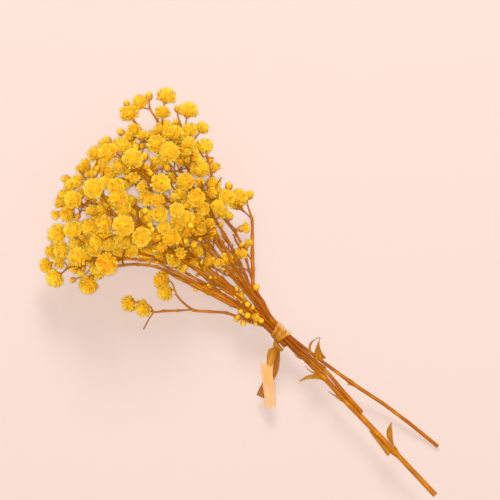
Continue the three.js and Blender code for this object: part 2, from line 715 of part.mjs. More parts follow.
function groundSolid() {
  const box = new THREE.BoxGeometry(GROUND.width, GROUND.width, GROUND.depth);
  box.translate(0, 0, -GROUND.depth / 2);
  box.deleteAttribute("normal").deleteAttribute("uv");
  const { attributes, index } = mergeVertices(box);
  return manifoldOf(attributes.position.array, new Uint32Array(index.array));
}

const ground = groundSolid();
const plans = SPRAYS.map(plan);
settle(plans);
for (const { name, joints, lines } of plans) {
  const blades = LEAVES.filter(({ spray }) => spray === name).map(leaf);
  const solid = joined([...lines.map((line) => lineSolid(joints, line)), ...blades]);
  addNode(name, solid.subtract(ground), YELLOW);
}

const knot = loft(ringsAt(rodStations(KNOT.map(vector), KNOT.map(([, , , radius]) => radius))));
addNode("raffia_band", joined([...TURNS.map(wrap), knot]), OCHRE);
const strips = LOOSE.map(({ points, faces }) => loft(stripRings(points, faces.map(vector))));
addNode("raffia_tails", joined(strips), OCHRE);

export default bunch;
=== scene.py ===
# %% [markdown]
# # A tied bunch of dried gypsophila
#
# Gypsophila, or baby's breath, is sold dried and dyed in small bunches. The real thing is a dozen or so cut
# sprays. Each is one stalk that forks again and again into ever finer twigs, and each twig ends in a fluffy
# double floret, in a half-open one or in a bud. A strip of raffia holds the stalks.
#
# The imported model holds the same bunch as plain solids, and it fixes every size and place. This lesson grows
# the bunch again by the same rule, with real petals, and dresses it in dried-plant finishes.

# %% Load the frame
import json
import math
import random

import bmesh
import bpy
from mathutils import Matrix, Vector, geometry, noise

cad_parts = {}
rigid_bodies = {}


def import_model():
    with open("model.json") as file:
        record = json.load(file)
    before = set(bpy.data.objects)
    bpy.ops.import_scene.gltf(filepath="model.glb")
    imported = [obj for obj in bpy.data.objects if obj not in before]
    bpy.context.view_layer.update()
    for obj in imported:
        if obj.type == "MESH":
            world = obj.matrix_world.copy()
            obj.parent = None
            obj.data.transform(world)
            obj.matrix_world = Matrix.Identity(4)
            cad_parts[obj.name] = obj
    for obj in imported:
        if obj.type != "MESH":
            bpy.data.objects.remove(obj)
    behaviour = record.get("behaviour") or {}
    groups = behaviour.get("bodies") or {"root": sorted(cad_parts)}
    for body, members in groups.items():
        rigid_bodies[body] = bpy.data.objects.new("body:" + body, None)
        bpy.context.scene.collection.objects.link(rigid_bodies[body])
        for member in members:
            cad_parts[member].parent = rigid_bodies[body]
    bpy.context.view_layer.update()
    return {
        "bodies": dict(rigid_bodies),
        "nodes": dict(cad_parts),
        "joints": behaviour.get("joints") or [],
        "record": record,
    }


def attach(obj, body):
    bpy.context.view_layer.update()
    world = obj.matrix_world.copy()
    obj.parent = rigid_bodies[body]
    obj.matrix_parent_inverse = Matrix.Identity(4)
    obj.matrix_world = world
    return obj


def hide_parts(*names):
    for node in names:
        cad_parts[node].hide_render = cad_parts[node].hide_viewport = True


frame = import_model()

scene = bpy.context.scene
print("nodes:", len(frame["nodes"]))

# %% [markdown]
# ## The camera
#
# The bunch is seen from straight above through a long lens, so that high florets aren't drawn larger than
# low ones. The bunch lies along X, and it should run from the upper left of the frame to its lower right, so
# the camera is turned an eighth of a turn about its own line of sight.

# %% Camera
MM = 0.001
CAMERA_AIM = Vector((-20.85, 19.13, 10)) * MM
CAMERA_DISTANCE = 3.0
CAMERA_TURN = math.radians(45)
FRAME_WIDTH = 185 * MM
SENSOR_WIDTH = 36.0

camera_data = bpy.data.cameras.new("camera_above")
camera_data.sensor_width = SENSOR_WIDTH
camera_data.lens = SENSOR_WIDTH * CAMERA_DISTANCE / FRAME_WIDTH
camera_data.clip_end = 20
camera = bpy.data.objects.new("camera_above", camera_data)
camera.location = CAMERA_AIM + Vector((0, 0, CAMERA_DISTANCE))
camera.rotation_euler = (0, 0, CAMERA_TURN)
scene.collection.objects.link(camera)
scene.camera = camera
print("lens, mm:", round(camera_data.lens))

# %% [markdown]
# ## The tie
#
# The raffia presses the stalks into rings round one in the middle. So each stalk has a slot, given as its
# ring and its angle, and below the tie the stalks splay a little. Here and in all that follows, places are in
# millimetres from the middle of the raffia, and only the finished meshes are in metres.

# %% Tie
TIE = Vector((9.5, 5, 0))
TIE_HEIGHT = 8.5
TIE_REACH = {"crown": 6, "cut": 3}
SLOT_RINGS = (0, 1.08, 2.1)
STALK_RADIUS = 0.45
SPLAY = 0.03


def slot_place(ring, angle, x, spread=1):
    """The place of a stalk inside the raffia, x millimetres along the bunch."""
    distance = SLOT_RINGS[ring] * spread
    turn = math.radians(angle)
    return (x, distance * math.cos(turn), TIE_HEIGHT + distance * math.sin(turn))


print("thickness of the bunch in its tie, mm:", round(2 * (SLOT_RINGS[-1] + STALK_RADIUS), 1))

# %% [markdown]
# ## The plan of the bunch
#
# Florets could be scattered by chance over a dome, but then no twig would lead to them. Here each spray is
# planned as it grew. It has its slot in the raffia, and either how far its cut end reaches below or the long
# stem that runs on there, as (x, y, z, radius) points. A branch is a route of (x, y, z) points, some with a
# radius, and the heads that fan out from the route's end, as (x, y, width, level). Level 1 is the top of the
# crown and level 0 rests on the surface. A width of 0 is a bare twig end.

# %% Plan
SPRAYS = {
    "right_edge": {
        "slot": (2, 330), "cut_at": 9,
        "branches": [
            {"route": [(-13, 3.6, 8.2), (-20, 5.6, 8, 0.65), (-29, 14, 8, 0.6), (-37.5, 22.4, 9)],
             "heads": [(-44.8, 28.4, 3.2, 0.4)]},
            {"route": [(-37.5, 22.4, 9)],
             "heads": [
                (-47, 25, 6.5, 0.6), (-50, 22, 6, 0.75), (-46, 22.5, 5, 0.3), (-52.5, 25.2, 3, 0.6),
                (-54, 19.5, 4, 0.5),
             ]},
            {"route": [(-20, 5.6, 8, 0.65), (-33, 13, 9.5)],
             "heads": [
                (-37.7, 18.2, 4.5, 0.5), (-44.5, 17.5, 3, 0.6), (-48, 15.5, 5, 0.6), (-50.5, 16.5, 5, 0.7),
             ]},
            {"route": [(-13, 3.6, 8.2)], "heads": [(-19, 5.2, 2.8, 0.9)]},
        ],
    },
    "right_top": {
        "slot": (2, 10),
        "stem": [
            (16, 3.6, 7.9, 0.58), (28.9, 5.6, 6.6, 0.66), (30.7, 5.85, 6.4, 1), (32.5, 6.2, 6.2, 0.68),
            (45, 8.8, 4.4, 0.68), (57, 10.5, 2.7, 0.68), (70.5, 11.9, 0.55, 0.7),
        ],
        "branches": [
            {"route": [(-20, 4.8, 10), (-29, 8, 12), (-41, 11.5, 15)],
             "heads": [
                (-57.8, 13.7, 6.5, 1), (-57, 21.8, 5, 0.75), (-61, 26.5, 4, 0.6), (-64.5, 22, 7, 0.8),
                (-64.2, 27, 2.5, 0.5), (-65, 15, 6.5, 1), (-53.5, 12.5, 5, 0.7), (-61, 18.5, 4, 0.8),
             ]},
        ],
    },
    "far_high": {
        "slot": (2, 50), "cut_at": 13,
        "branches": [
            {"route": [(-20, 4.2, 12), (-32, 6.5, 16), (-45, 10, 20), (-60, 14, 24)],
             "heads": [
                (-77, 18.5, 7.5, 1), (-82.3, 17.3, 7, 1), (-74, 26, 5.5, 0.9), (-77.2, 29.5, 6, 0.8),
                (-74.7, 33.5, 4.8, 0.6), (-80.2, 24.6, 7, 0.9), (-82.8, 34.3, 7, 0.8),
                (-86.3, 32, 2.5, 0.6), (-83, 28.3, 2.2, 0.7), (-71, 24.5, 5, 0.7), (-71.8, 28.5, 0, 0.75),
             ]},
        ],
    },
    "far_edge": {
        "slot": (1, 306),
        "stem": [(12, 1.5, 7.2, 0.5), (20.5, 2.9, 6.9, 0.55)],
        "branches": [
            {"route": [(-20, 3, 9), (-35, 6, 9.5), (-50, 9, 11), (-66, 13, 12.5)],
             "heads": [
                (-92.3, 32.3, 7, 0.8), (-97, 27.8, 3, 0.7), (-97.5, 23.8, 6, 0.8), (-97.3, 18.2, 6.5, 0.8),
                (-100.8, 20.2, 2.5, 0.6), (-100.2, 17.3, 2.2, 0.6), (-89, 27, 5.5, 0.8),
                (-84.3, 23.3, 7, 0.5), (-91.8, 15.2, 5, 0.75), (-88, 15.5, 4.5, 0.7),
                (-94.7, 11.2, 2.8, 0.7),
             ]},
        ],
    },
    "left_top": {
        "slot": (1, 90), "cut_at": 15,
        "branches": [
            {"route": [(-20, 1.5, 12), (-35, 3, 16), (-50, 5, 21), (-62, 6, 25)],
             "heads": [
                (-84.5, 7.5, 7.5, 1), (-90, 8, 6, 0.9), (-96, 5.5, 3, 0.8), (-92.5, 2.5, 7.5, 1),
                (-96, 3.5, 4, 0.7), (-82, 11, 3, 0.8), (-71, 8.3, 7, 1), (-74.5, 2.8, 4.5, 1),
                (-70.5, 1, 6, 0.85), (-81, 1.5, 2.5, 0.8), (-78, 12, 4, 0.9), (-86, 2, 6, 0.75),
             ]},
        ],
    },
    "left_edge": {
        "slot": (1, 162), "cut_at": 4.5,
        "branches": [
            {"route": [(-20, -1.8, 10), (-35, -4.5, 11), (-50, -7, 13), (-66, -9, 15)],
             "heads": [
                (-95.5, -1, 6, 0.8), (-95.3, -8.8, 4, 0.7), (-91, -7.8, 4.5, 0.75), (-86.8, -10.2, 7.5, 1),
                (-97, -15.4, 3, 0.6), (-93, -13, 5.5, 0.8), (-93.8, -16, 5, 0.7), (-89.5, -18.8, 6.5, 1),
                (-93, -20.3, 4.5, 0.7), (-91.8, -23, 4.5, 0.7), (-87, -24, 6, 0.8), (-90, -27, 4, 0.6),
             ]},
        ],
    },
    "top_centre": {
        "slot": (2, 90), "cut_at": 6.5,
        "branches": [
            {"route": [(-12, -0.4, 11.7), (-20, -1, 14), (-32, -3, 19), (-45, -6, 25), (-56, -8.5, 29)],
             "heads": [
                (-81.5, -4, 6.5, 1), (-78, -6.5, 7, 1), (-74, -8, 6, 0.9), (-69.5, -12.5, 8, 1),
                (-81.3, -17, 4.5, 1), (-75, -17, 7, 0.9), (-77.5, -21.5, 7, 0.9), (-72, -24, 6, 0.85),
                (-61.8, -10.5, 7, 1), (-63, -5.5, 2.5, 0.9), (-66, -4, 6, 0.8), (-85.5, -6.5, 5.5, 0.85),
             ]},
            {"route": [(-12, -0.4, 11.7)],
             "heads": [(-21.7, -1.1, 2.4, 0.95), (-19.2, 0.1, 3.4, 0.95), (-23.5, 0.5, 2, 0.9)]},
        ],
    },
    "low_left": {
        "slot": (2, 130), "cut_at": 3.5,
        "branches": [
            {"route": [
                (-17, -3.2, 10), (-25, -5.3, 11, 0.6), (-32, -7.6, 12, 0.6), (-40, -9.8, 13),
                (-52, -13.5, 15),
             ],
             "heads": [
                (-82, -26.5, 6.5, 0.85), (-84.5, -32, 7.5, 0.8), (-79.5, -35, 6, 0.8), (-81.8, -38, 5, 0.6),
                (-79.5, -43, 5.5, 0.5), (-74, -44, 7, 0.7), (-77, -38.5, 5, 0.7), (-70.5, -37, 1.8, 0.8),
                (-73.5, -32.5, 7, 0.9), (-71, -26, 5, 0.8), (-77, -30, 5.5, 0.6), (-69, -35, 4, 0.6),
             ]},
        ],
    },
    "low_near": {
        "slot": (2, 170), "cut_at": 4.2,
        "branches": [
            {"route": [
                (-17, -3.7, 8, 0.6), (-21, -5, 8, 0.75), (-30, -7.8, 8, 0.8), (-42, -12.3, 8.5, 0.65),
                (-50, -15, 9.5), (-56, -19, 11),
             ],
             "heads": [
                (-64, -26.8, 8, 1), (-63.5, -37, 7, 0.6), (-64.3, -32, 5, 0.35), (-68.8, -40, 2.2, 0.4),
                (-70, -31, 5, 0.6), (-66, -16, 7, 0.6), (-61, -17, 5, 0.5),
             ]},
        ],
    },
    "low_twig": {
        "slot": (2, 210), "cut_at": 3.8,
        "branches": [
            {"route": [(-11.5, -4.6, 8), (-20, -8.5, 6.5), (-29.5, -16.5, 6)],
             "heads": [(-45.5, -16, 7, 0.15), (-41.5, -18.8, 6.5, 0.12)]},
            {"route": [(-29.5, -16.5, 6), (-37, -24.5, 5.5)],
             "heads": [(-43, -29, 6.5, 0.15), (-48, -31.5, 6, 0.15), (-37.5, -34.5, 0, 0.1)]},
            {"route": [(-11.5, -4.6, 8)],
             "heads": [
                (-15.9, -7.2, 2.5, 0.6), (-16.7, -4.5, 2.1, 0.9), (-14, -3.7, 2.7, 0.95),
                (-11.6, -2, 3.4, 1), (-9.3, -1.5, 2.4, 1),
             ]},
        ],
    },
    "near_centre": {
        "slot": (0, 0),
        "stem": [
            (10, -0.2, 8.45, 0.6), (20.7, 0, 8.6, 0.85), (22.5, 0.1, 8.6, 1.2), (24.3, 0.1, 8.6, 0.9),
            (33, -0.3, 8.8, 1.05), (58.6, -0.8, 9.2, 0.95), (60.4, -0.9, 9.3, 1.35),
            (62.4, -0.9, 9.3, 0.88), (82.3, -1.5, 9.8, 0.98),
        ],
        "branches": [
            {"route": [(-20, -0.7, 9, 0.8), (-30, -1.1, 9.5, 1), (-38, -2.4, 10.3, 0.85)],
             "heads": [
                (-58.5, -2.5, 5, 0.9), (-54, -3, 6.5, 0.9), (-47.8, -4.5, 4.5, 0.9), (-47.5, -8.5, 5, 0.55),
                (-43.5, -8, 4, 0.5), (-63.5, 0, 6, 0.9), (-38.5, 1.5, 5, 0.45), (-50.5, -1, 5, 0.6),
                (-59, -7, 5.5, 0.6), (-42, -3.5, 4, 0.65),
             ]},
        ],
    },
    "near_top": {
        "slot": (1, 18),
        "stem": [
            (12, 1.9, 9.1, 0.5), (22, 2.3, 9.9, 0.66), (31, 1.5, 10.4, 0.72), (41.5, 0.95, 10.5, 0.66),
        ],
        "branches": [
            {"route": [(-20, 2, 10.5), (-30, 3.5, 12), (-42, 4.5, 15)],
             "heads": [
                (-67, 3, 5, 1), (-59.7, 5.5, 5.5, 1), (-55, 6, 6, 0.85), (-52, 8.5, 6, 0.6),
                (-63, 10, 5, 0.6), (-49, 6, 5, 0.6), (-56, 2.5, 6, 0.7), (-46.5, 1, 3, 0.8),
                (-52, 3, 5.5, 0.65), (-58.5, 9.5, 5, 0.5), (-46.5, 9.5, 4.5, 0.5),
             ]},
        ],
    },
    "under_left": {
        "slot": (1, 234), "cut_at": 11,
        "branches": [
            {"route": [(-20, -1, 7), (-40, -2, 6), (-56, -2, 5)],
             "heads": [
                (-91, -3, 6, 0.4), (-86.5, -3, 7, 0.45), (-80, -13.5, 6, 0.35), (-85, -14.5, 4, 0.3),
                (-78.5, 7, 6, 0.5), (-83, 4, 6, 0), (-90, 10, 6, 0.25), (-74, -5, 6, 0.1),
                (-72, -9, 6, 0.4),
             ]},
        ],
    },
    "under_low": {
        "slot": (2, 250), "cut_at": 8,
        "branches": [
            {"route": [(-20, -3, 5.5), (-35, -7, 4.5), (-50, -11, 4)],
             "heads": [
                (-69, -21, 6, 0.4), (-76, -27, 5, 0.4), (-80, -25, 6, 0), (-57, -14, 6, 0),
                (-72, -36, 5, 0.15), (-66, -9, 5, 0.15), (-72, -20, 6, 0.55), (-63, -21, 6, 0.35),
             ]},
        ],
    },
    "under_top": {
        "slot": (2, 290), "cut_at": 14,
        "branches": [
            {"route": [(-20, 2.5, 5.5), (-36, 7, 4.5), (-50, 11, 4)],
             "heads": [
                (-71.5, 20.5, 6.5, 0.5), (-73.2, 14, 3, 0.5), (-70, 12, 4, 0.35), (-82, 25, 6, 0),
                (-57, 15, 6, 0), (-66, 4, 5, 0.1), (-52, 21, 5, 0.25), (-77, 14.5, 5, 0.45),
             ]},
        ],
    },
}

print("sprays planned:", len(SPRAYS))
print("heads planned:", sum(len(branch["heads"]) for plan in SPRAYS.values() for branch in plan["branches"]))

# %% [markdown]
# ## How a spray grows
#
# The twigs between a route's end and its heads aren't listed, because one rule grows them all. The heads
# are split in two along their widest spread, the twig runs some way towards their middle, and there it
# forks: the straighter half carries the twig on, and the other half starts a new one. That is repeated
# until each twig has one head, which gives the forked look of real gypsophila.
#
# First come two small classes, so that a fork is one joint which all its twigs share.

# %% Joints and lines
TWIG_RADIUS = {"root": 0.3, "single": 0.38, "few": 0.44, "many": 0.5}


class Joint:
    """A point of a spray. The raffia holds some joints, and the others can give way."""

    def __init__(self, place, held=False):
        self.place = Vector(place)
        self.held = held


class Line:
    """One twig: its joints, with a radius at each, and the width of the head that it ends in."""

    def __init__(self, joint, radius):
        self.joints = [joint]
        self.radii = [radius]
        self.width = 0

    def add(self, joint, radius):
        self.joints.append(joint)
        self.radii.append(radius)
        return joint


print("twig radii, mm:", TWIG_RADIUS)

# %% Heights of the heads
DOME = {"x": -70, "y": -5, "top": 38, "least": 12.5, "floor": 4.5, "fall": 0.012}
REST_SHARE = 0.72


def head_height(x, y, width, level):
    """The height of a head's centre, by its level under the crown's domed upper side."""
    if level == 0:
        return REST_SHARE * width / 2
    top = DOME["top"] - DOME["fall"] * ((x - DOME["x"]) ** 2 + (y - DOME["y"]) ** 2)
    return DOME["floor"] + (max(top, DOME["least"]) - DOME["floor"]) * level


print("height of a head at the top of the crown, mm:", head_height(DOME["x"], DOME["y"], 7, 1))

# %% Forks
FORK_REACH = {"least": 0.3, "per_head": 0.5, "step": 0.05}
BARE_PEDICEL = 1


def middle_of(heads):
    return sum((place for place, _ in heads), Vector((0, 0, 0))) / len(heads)


def fork_place(start, heads):
    """Where a twig forks: on its way to the middle of its heads, and clear of each."""
    middle = middle_of(heads)
    reach = FORK_REACH["least"] + FORK_REACH["per_head"] / len(heads)

    def crowded():
        fork = start.lerp(middle, reach)
        return any((fork - place).length < width / 2 + BARE_PEDICEL for place, width in heads)

    while reach > 2 * FORK_REACH["step"] and crowded():
        reach -= FORK_REACH["step"]
    return start.lerp(middle, reach)


def halves_of(heads, fork, ahead):
    """The heads in two halves along their widest spread. The half that lies straighter ahead is first."""

    def spread(axis):
        values = [place[axis] for place, _ in heads]
        return max(values) - min(values)

    widest = max(range(3), key=spread)
    ordered = sorted(heads, key=lambda head: head[0][widest])
    half = math.ceil(len(ordered) / 2)
    halves = [ordered[:half], ordered[half:]]
    straight = [(middle_of(part) - fork).normalized().dot(ahead) for part in halves]
    return halves if straight[0] >= straight[1] else halves[::-1]


# %% Growing a spray
FEW_HEADS = 5


def grow(lines, line, heads):
    """Carries a line on to its heads, and starts a new line at each fork."""
    if len(heads) == 1:
        line.add(Joint(heads[0][0]), TWIG_RADIUS["single"])
        line.width = heads[0][1]
        return
    start = line.joints[-1].place
    radius = TWIG_RADIUS["many" if len(heads) > FEW_HEADS else "few"]
    fork = line.add(Joint(fork_place(start, heads)), radius)
    straight, turned = halves_of(heads, fork.place, (fork.place - start).normalized())
    grow(lines, line, straight)
    lines.append(Line(fork, TWIG_RADIUS["root"]))
    grow(lines, lines[-1], turned)


def stalk_of(plan):
    """A spray's stalk, from its cut end up through the raffia."""
    if "stem" in plan:
        below = [(point[:3], point[3]) for point in reversed(plan["stem"])]
    else:
        spread = 1 + SPLAY * (plan["cut_at"] - TIE_REACH["cut"])
        below = [(slot_place(*plan["slot"], plan["cut_at"], spread), STALK_RADIUS)]
    inside = [(slot_place(*plan["slot"], x), STALK_RADIUS) for x in (TIE_REACH["cut"], -TIE_REACH["crown"])]
    (end, end_radius), *rest = below + inside
    stalk = Line(Joint(end, held=True), end_radius)
    for place, radius in rest:
        stalk.add(Joint(place, held=True), radius)
    return stalk


def grow_spray(plan):
    """All lines of a spray. The first is its stalk, which starts at the cut end."""
    lines = [stalk_of(plan)]
    joints = {}
    for number, branch in enumerate(plan["branches"]):
        first, *onward = branch["route"]
        if number == 0:
            line, onward = lines[0], branch["route"]
        else:
            line = Line(joints[first], TWIG_RADIUS["root"])
            lines.append(line)
        for point in onward:
            radius = point[3] if len(point) > 3 else TWIG_RADIUS["many"]
            joints[point] = line.add(Joint(point[:3]), radius)
        heads = [
            (Vector((x, y, head_height(x, y, width, level))), width)
            for x, y, width, level in branch["heads"]
        ]
        grow(lines, line, heads)
    return lines


sprays = {name: grow_spray(plan) for name, plan in SPRAYS.items()}
print("twigs:", sum(len(lines) for lines in sprays.values()))

# %% [markdown]
# ## How tied sprays settle
#
# In a real bunch the sprays press on each other and give way until each lies clear. A physics run could do
# this, but a few rounds of pushing overlapping pieces apart give the same result each time. They give way
# up and down more easily than sideways, and nothing sinks below the surface.

# %% Distance of two pieces
PARALLEL = 1e-9


def clamp(value):
    return min(max(value, 0), 1)


def nearest(first, second):
    """The nearest points of two straight pieces, as shares of the way along, and what lies between them."""
    along = first[1].place - first[0].place
    other = second[1].place - second[0].place
    between = first[0].place - second[0].place
    uu, vv, uv = along.dot(along), other.dot(other), along.dot(other)
    uw, vw = along.dot(between), other.dot(between)
    cross = uu * vv - uv * uv
    s = clamp((uv * vw - vv * uw) / cross) if cross > PARALLEL else 0
    t = clamp((uv * s + vw) / vv) if vv > 0 else 0
    s = clamp((uv * t - uw) / uu) if uu > 0 else 0
    return s, t, between + along * s - other * t


def pieces_of(name):
    """The straight pieces of a spray as (start, end, radius, spray), with each head as a ball."""
    for line in sprays[name]:
        for i in range(1, len(line.joints)):
            yield line.joints[i - 1], line.joints[i], max(line.radii[i - 1], line.radii[i]), name
        yield line.joints[-1], line.joints[-1], line.width / 2, name


pieces = [piece for name in sprays for piece in pieces_of(name)]
print("straight pieces and heads:", len(pieces))

# %% Settle
GAP = 0.3
SETTLE = {"rounds": 60, "reach": 9, "sideways": 0.35}
UP = Vector((0, 0, 1))


def give(joint, push, share):
    """Moves a joint that isn't held by its share of a push."""
    if not joint.held:
        joint.place += Vector((push.x * SETTLE["sideways"], push.y * SETTLE["sideways"], push.z)) * share


def push_apart(first, second):
    """Pushes two pieces apart where less than the gap is between them."""
    s, t, apart = nearest(first, second)
    room = apart.length
    wanted = first[2] + second[2] + GAP
    if room >= wanted:
        return
    push = (apart if room > 0 else UP).normalized() * ((wanted - room) / 2)
    give(first[0], push, 1 - s)
    give(first[1], push, s)
    give(second[0], -push, 1 - t)
    give(second[1], -push, t)


pairs = [
    (first, second)
    for i, first in enumerate(pieces)
    for second in pieces[i + 1 :]
    if first[3] != second[3] and nearest(first, second)[2].length < first[2] + second[2] + SETTLE["reach"]
]
for _ in range(SETTLE["rounds"]):
    for first, second in pairs:
        push_apart(first, second)
    for start, end, radius, _ in pieces:
        least = REST_SHARE * radius if start is end else radius
        for joint in (start, end):
            joint.place.z = max(joint.place.z, least)
print("pairs that could touch:", len(pairs))

# %% [markdown]
# ## The small twigs between
#
# Real gypsophila is finer than the planned heads show. Long stalks have a node every few millimetres with a
# thin side twig, and each fork of the crown carries a head of its own on a short pedicel. The solids leave
# both out, because so many fine twigs would fill the crown. They could be scattered as copies of one twig,
# but here each tries a few ways out from its node and grows where its head finds room.
#
# They keep to three regions, as seen from above: the crown, an ellipse whose near lower corner is cut off so
# that the stalks lie open there, the fan of stalks between the raffia and the crown, and a strip of small
# buds beside the raffia.

# %% Where small twigs may grow
CROWN = {"x": -69, "y": -3, "half_length": 27, "half_width": 33}
CROWN_EDGE = {"from": -10.4, "x": -58.6, "slope": 0.32}
FAN = {"from": -22, "to": -54, "right": (8.5, 0.74), "left": (-6.5, -0.38)}
NEAR_RAFFIA = {"from": -8, "to": -24, "right": 1.5}


def in_crown(place):
    x = (place.x - CROWN["x"]) / CROWN["half_length"]
    y = (place.y - CROWN["y"]) / CROWN["half_width"]
    beyond = min(0, place.y - CROWN_EDGE["from"])
    return x * x + y * y < 1 and (beyond == 0 or place.x < CROWN_EDGE["x"] + CROWN_EDGE["slope"] * beyond)


def in_fan(place):
    beyond = FAN["from"] - place.x
    right, left = (start + slope * beyond for start, slope in (FAN["right"], FAN["left"]))
    return 0 < beyond < FAN["from"] - FAN["to"] and left < place.y < right


def near_raffia(place):
    return NEAR_RAFFIA["to"] < place.x < NEAR_RAFFIA["from"] and place.y < NEAR_RAFFIA["right"]


forks = [line.joints[0].place for lines in sprays.values() for line in lines[1:]]
for region in (in_crown, in_fan, near_raffia):
    print("forks", region.__name__, sum(region(place) for place in forks))

# %% Small twigs
TOP = 39.0
ROOM = 0.84
SMALL_TWIGS = {
    "side": {"tries": 9, "spread": 0.65, "length": (7, 15), "width": (3.5, 5), "inside": in_fan},
    "fork": {"tries": 8, "spread": 1.1, "length": (3.2, 7), "width": (2.4, 5.6), "inside": in_crown},
    "fan_fork": {"tries": 4, "spread": 0.8, "length": (3, 7), "width": (1.1, 2), "inside": in_fan},
    "bud": {"tries": 6, "spread": 1.1, "length": (1.4, 2.8), "width": (1.3, 2.3), "inside": near_raffia},
}


def has_room(place, width, heads):
    """Whether a head would lie clear of the others, above the surface and under the crown's top."""
    if place.z < width / 2 or place.z + width / 2 > TOP:
        return False
    reach = [(place - head.joints[-1].place).length / (width + head.width) * 2 for head in heads]
    return min(reach) > ROOM


def loose_way(ahead, spread, chance):
    """A way ahead that strays by chance."""
    loose = Vector([chance.gauss(0, 1) for _ in range(3)]).normalized()
    return (ahead + loose * spread).normalized()


def grow_small(kind, fork, ahead, heads, chance):
    """Grows one small twig from a fork. Gives it, or None where it finds no room."""
    plan = SMALL_TWIGS[kind]
    for _ in range(plan["tries"]):
        way = loose_way(ahead, plan["spread"], chance)
        width = chance.uniform(*plan["width"])
        place = fork.place + way * (chance.uniform(*plan["length"]) + width / 4)
        if plan["inside"](place) and has_room(place, width, heads):
            twig = Line(fork, TWIG_RADIUS["root"])
            twig.add(Joint(place), TWIG_RADIUS["single"])
            twig.width = width
            heads.append(twig)
            return twig
    return None


# %% Nodes and side twigs
NODE_EVERY = 4.8
BARE_SHARE = 0.6
SECOND_FORK = (0.4, 0.6)


def add_nodes(line):
    """Adds joints along a line's long pieces, and gives them."""
    added = []
    for i in range(len(line.joints) - 1, 0, -1):
        before, after = line.joints[i - 1], line.joints[i]
        if before.held and after.held:
            continue
        count = int((after.place - before.place).length / NODE_EVERY)
        for k in range(count - 1, 0, -1):
            node = Joint(before.place.lerp(after.place, k / count))
            line.joints.insert(i, node)
            line.radii.insert(i, line.radii[i - 1] + (line.radii[i] - line.radii[i - 1]) * k / count)
            added.append(node)
    return added


def grow_side_twigs(lines, heads, chance):
    """Gives each long twig of a spray its nodes, and the nodes their side twigs."""
    for line in lines[:]:
        for node in add_nodes(line):
            here = line.joints.index(node)
            ahead = (line.joints[here + 1].place - node.place).normalized()
            twig = grow_small("side", node, ahead, heads, chance) if in_fan(node.place) else None
            if twig is None:
                continue
            lines.append(twig)
            middle = Joint(node.place.lerp(twig.joints[-1].place, chance.uniform(*SECOND_FORK)))
            twig.joints.insert(1, middle)
            twig.radii.insert(1, TWIG_RADIUS["single"])
            second = grow_small("fan_fork", middle, ahead, heads, chance)
            if second:
                lines.append(second)
            if chance.random() < BARE_SHARE:
                twig.width = 0


# %% Grow the small twigs
def all_heads():
    return [line for lines in sprays.values() for line in lines if line.width]


def first_way(line):
    """The way a line sets out."""
    return (line.joints[1].place - line.joints[0].place).normalized()


def grow_small_twigs(chance):
    """Grows all small twigs. Gives how many found room."""
    heads = all_heads()
    known = len(heads)
    for lines in sprays.values():
        for line in lines[1:]:
            fork = line.joints[0]
            kind = "bud" if near_raffia(fork.place) else "fork" if in_crown(fork.place) else None
            twig = grow_small(kind, fork, first_way(line), heads, chance) if kind else None
            if twig:
                lines.append(twig)
        grow_side_twigs(lines, heads, chance)
    return len(heads) - known


print("small twigs:", grow_small_twigs(random.Random(8)))

# %% [markdown]
# Some twigs have lost their floret, and between the others they show as fine bare lines. They go round the
# florets, and no floret lies over their tips, because a tip would be hidden there.

# %% Bare twigs
BARE_TWIG = {"tries": 16, "spread": 0.6, "length": (6, 14), "lowest": 1}


def clear_of_heads(start, tip, heads):
    """Whether a straight twig passes by all heads and ends where none lies over its tip."""
    line = tip - start
    for head in heads:
        centre, radius = head.joints[-1].place, head.width / 2
        nearest_share = clamp(line.dot(centre - start) / line.dot(line))
        if (start + line * nearest_share - centre).length < radius:
            return False
        if centre.z > tip.z and (centre - tip).xy.length < radius:
            return False
    return True


def grow_bare(fork, ahead, heads, chance):
    """Grows one bare twig from a fork. Gives it, or None where it finds no way."""
    for _ in range(BARE_TWIG["tries"]):
        way = loose_way(ahead, BARE_TWIG["spread"], chance)
        tip = fork.place + way * chance.uniform(*BARE_TWIG["length"])
        if tip.z > BARE_TWIG["lowest"] and in_crown(tip) and clear_of_heads(fork.place, tip, heads):
            twig = Line(fork, TWIG_RADIUS["root"])
            twig.add(Joint(tip), TWIG_RADIUS["root"])
            return twig
    return None


def grow_bare_twigs(chance):
    """Grows bare twigs from the crown's forks. Gives how many there are."""
    heads = all_heads()
    count = 0
    for lines in sprays.values():
        for line in lines[1:]:
            twig = None
            if in_crown(line.joints[0].place):
                twig = grow_bare(line.joints[0], first_way(line), heads, chance)
            if twig:
                lines.append(twig)
                count += 1
    return count


print("bare twigs:", grow_bare_twigs(random.Random(4)))

# %% [markdown]
# ## How a head sits
#
# In the solids a twig ends in the middle of its head, but a real one ends below it. A head looks on from its
# twig and also out of the crown, as real florets turn to the light. Narrow heads are buds, wider ones are
# half open, and the widest are full florets.

# %% Heads on their twigs
HEART = Vector((-64, -1, 5))
OUTWARD = 0.7
PEDICEL_SHARE = 0.75
HEAD_ROOT = {"floret": 0.74, "bell": 1, "bud": 1.1}
BUD_LIMIT = 3.4
BELL_LIMIT = 4.7


def head_kind(width):
    return "bud" if width < BUD_LIMIT else "bell" if width < BELL_LIMIT else "floret"


def head_facing(line):
    """The way a head looks: on from its twig and out of the crown."""
    pedicel = line.joints[-1].place - line.joints[-2].place
    outward = (line.joints[-1].place - HEART).normalized()
    return (pedicel.normalized() + OUTWARD * outward).normalized()


def head_root(line):
    """The place below a head where its twig ends."""
    radius = line.width / 2
    length = (line.joints[-1].place - line.joints[-2].place).length
    down = min(HEAD_ROOT[head_kind(line.width)] * radius, PEDICEL_SHARE * length)
    return line.joints[-1].place - head_facing(line) * down


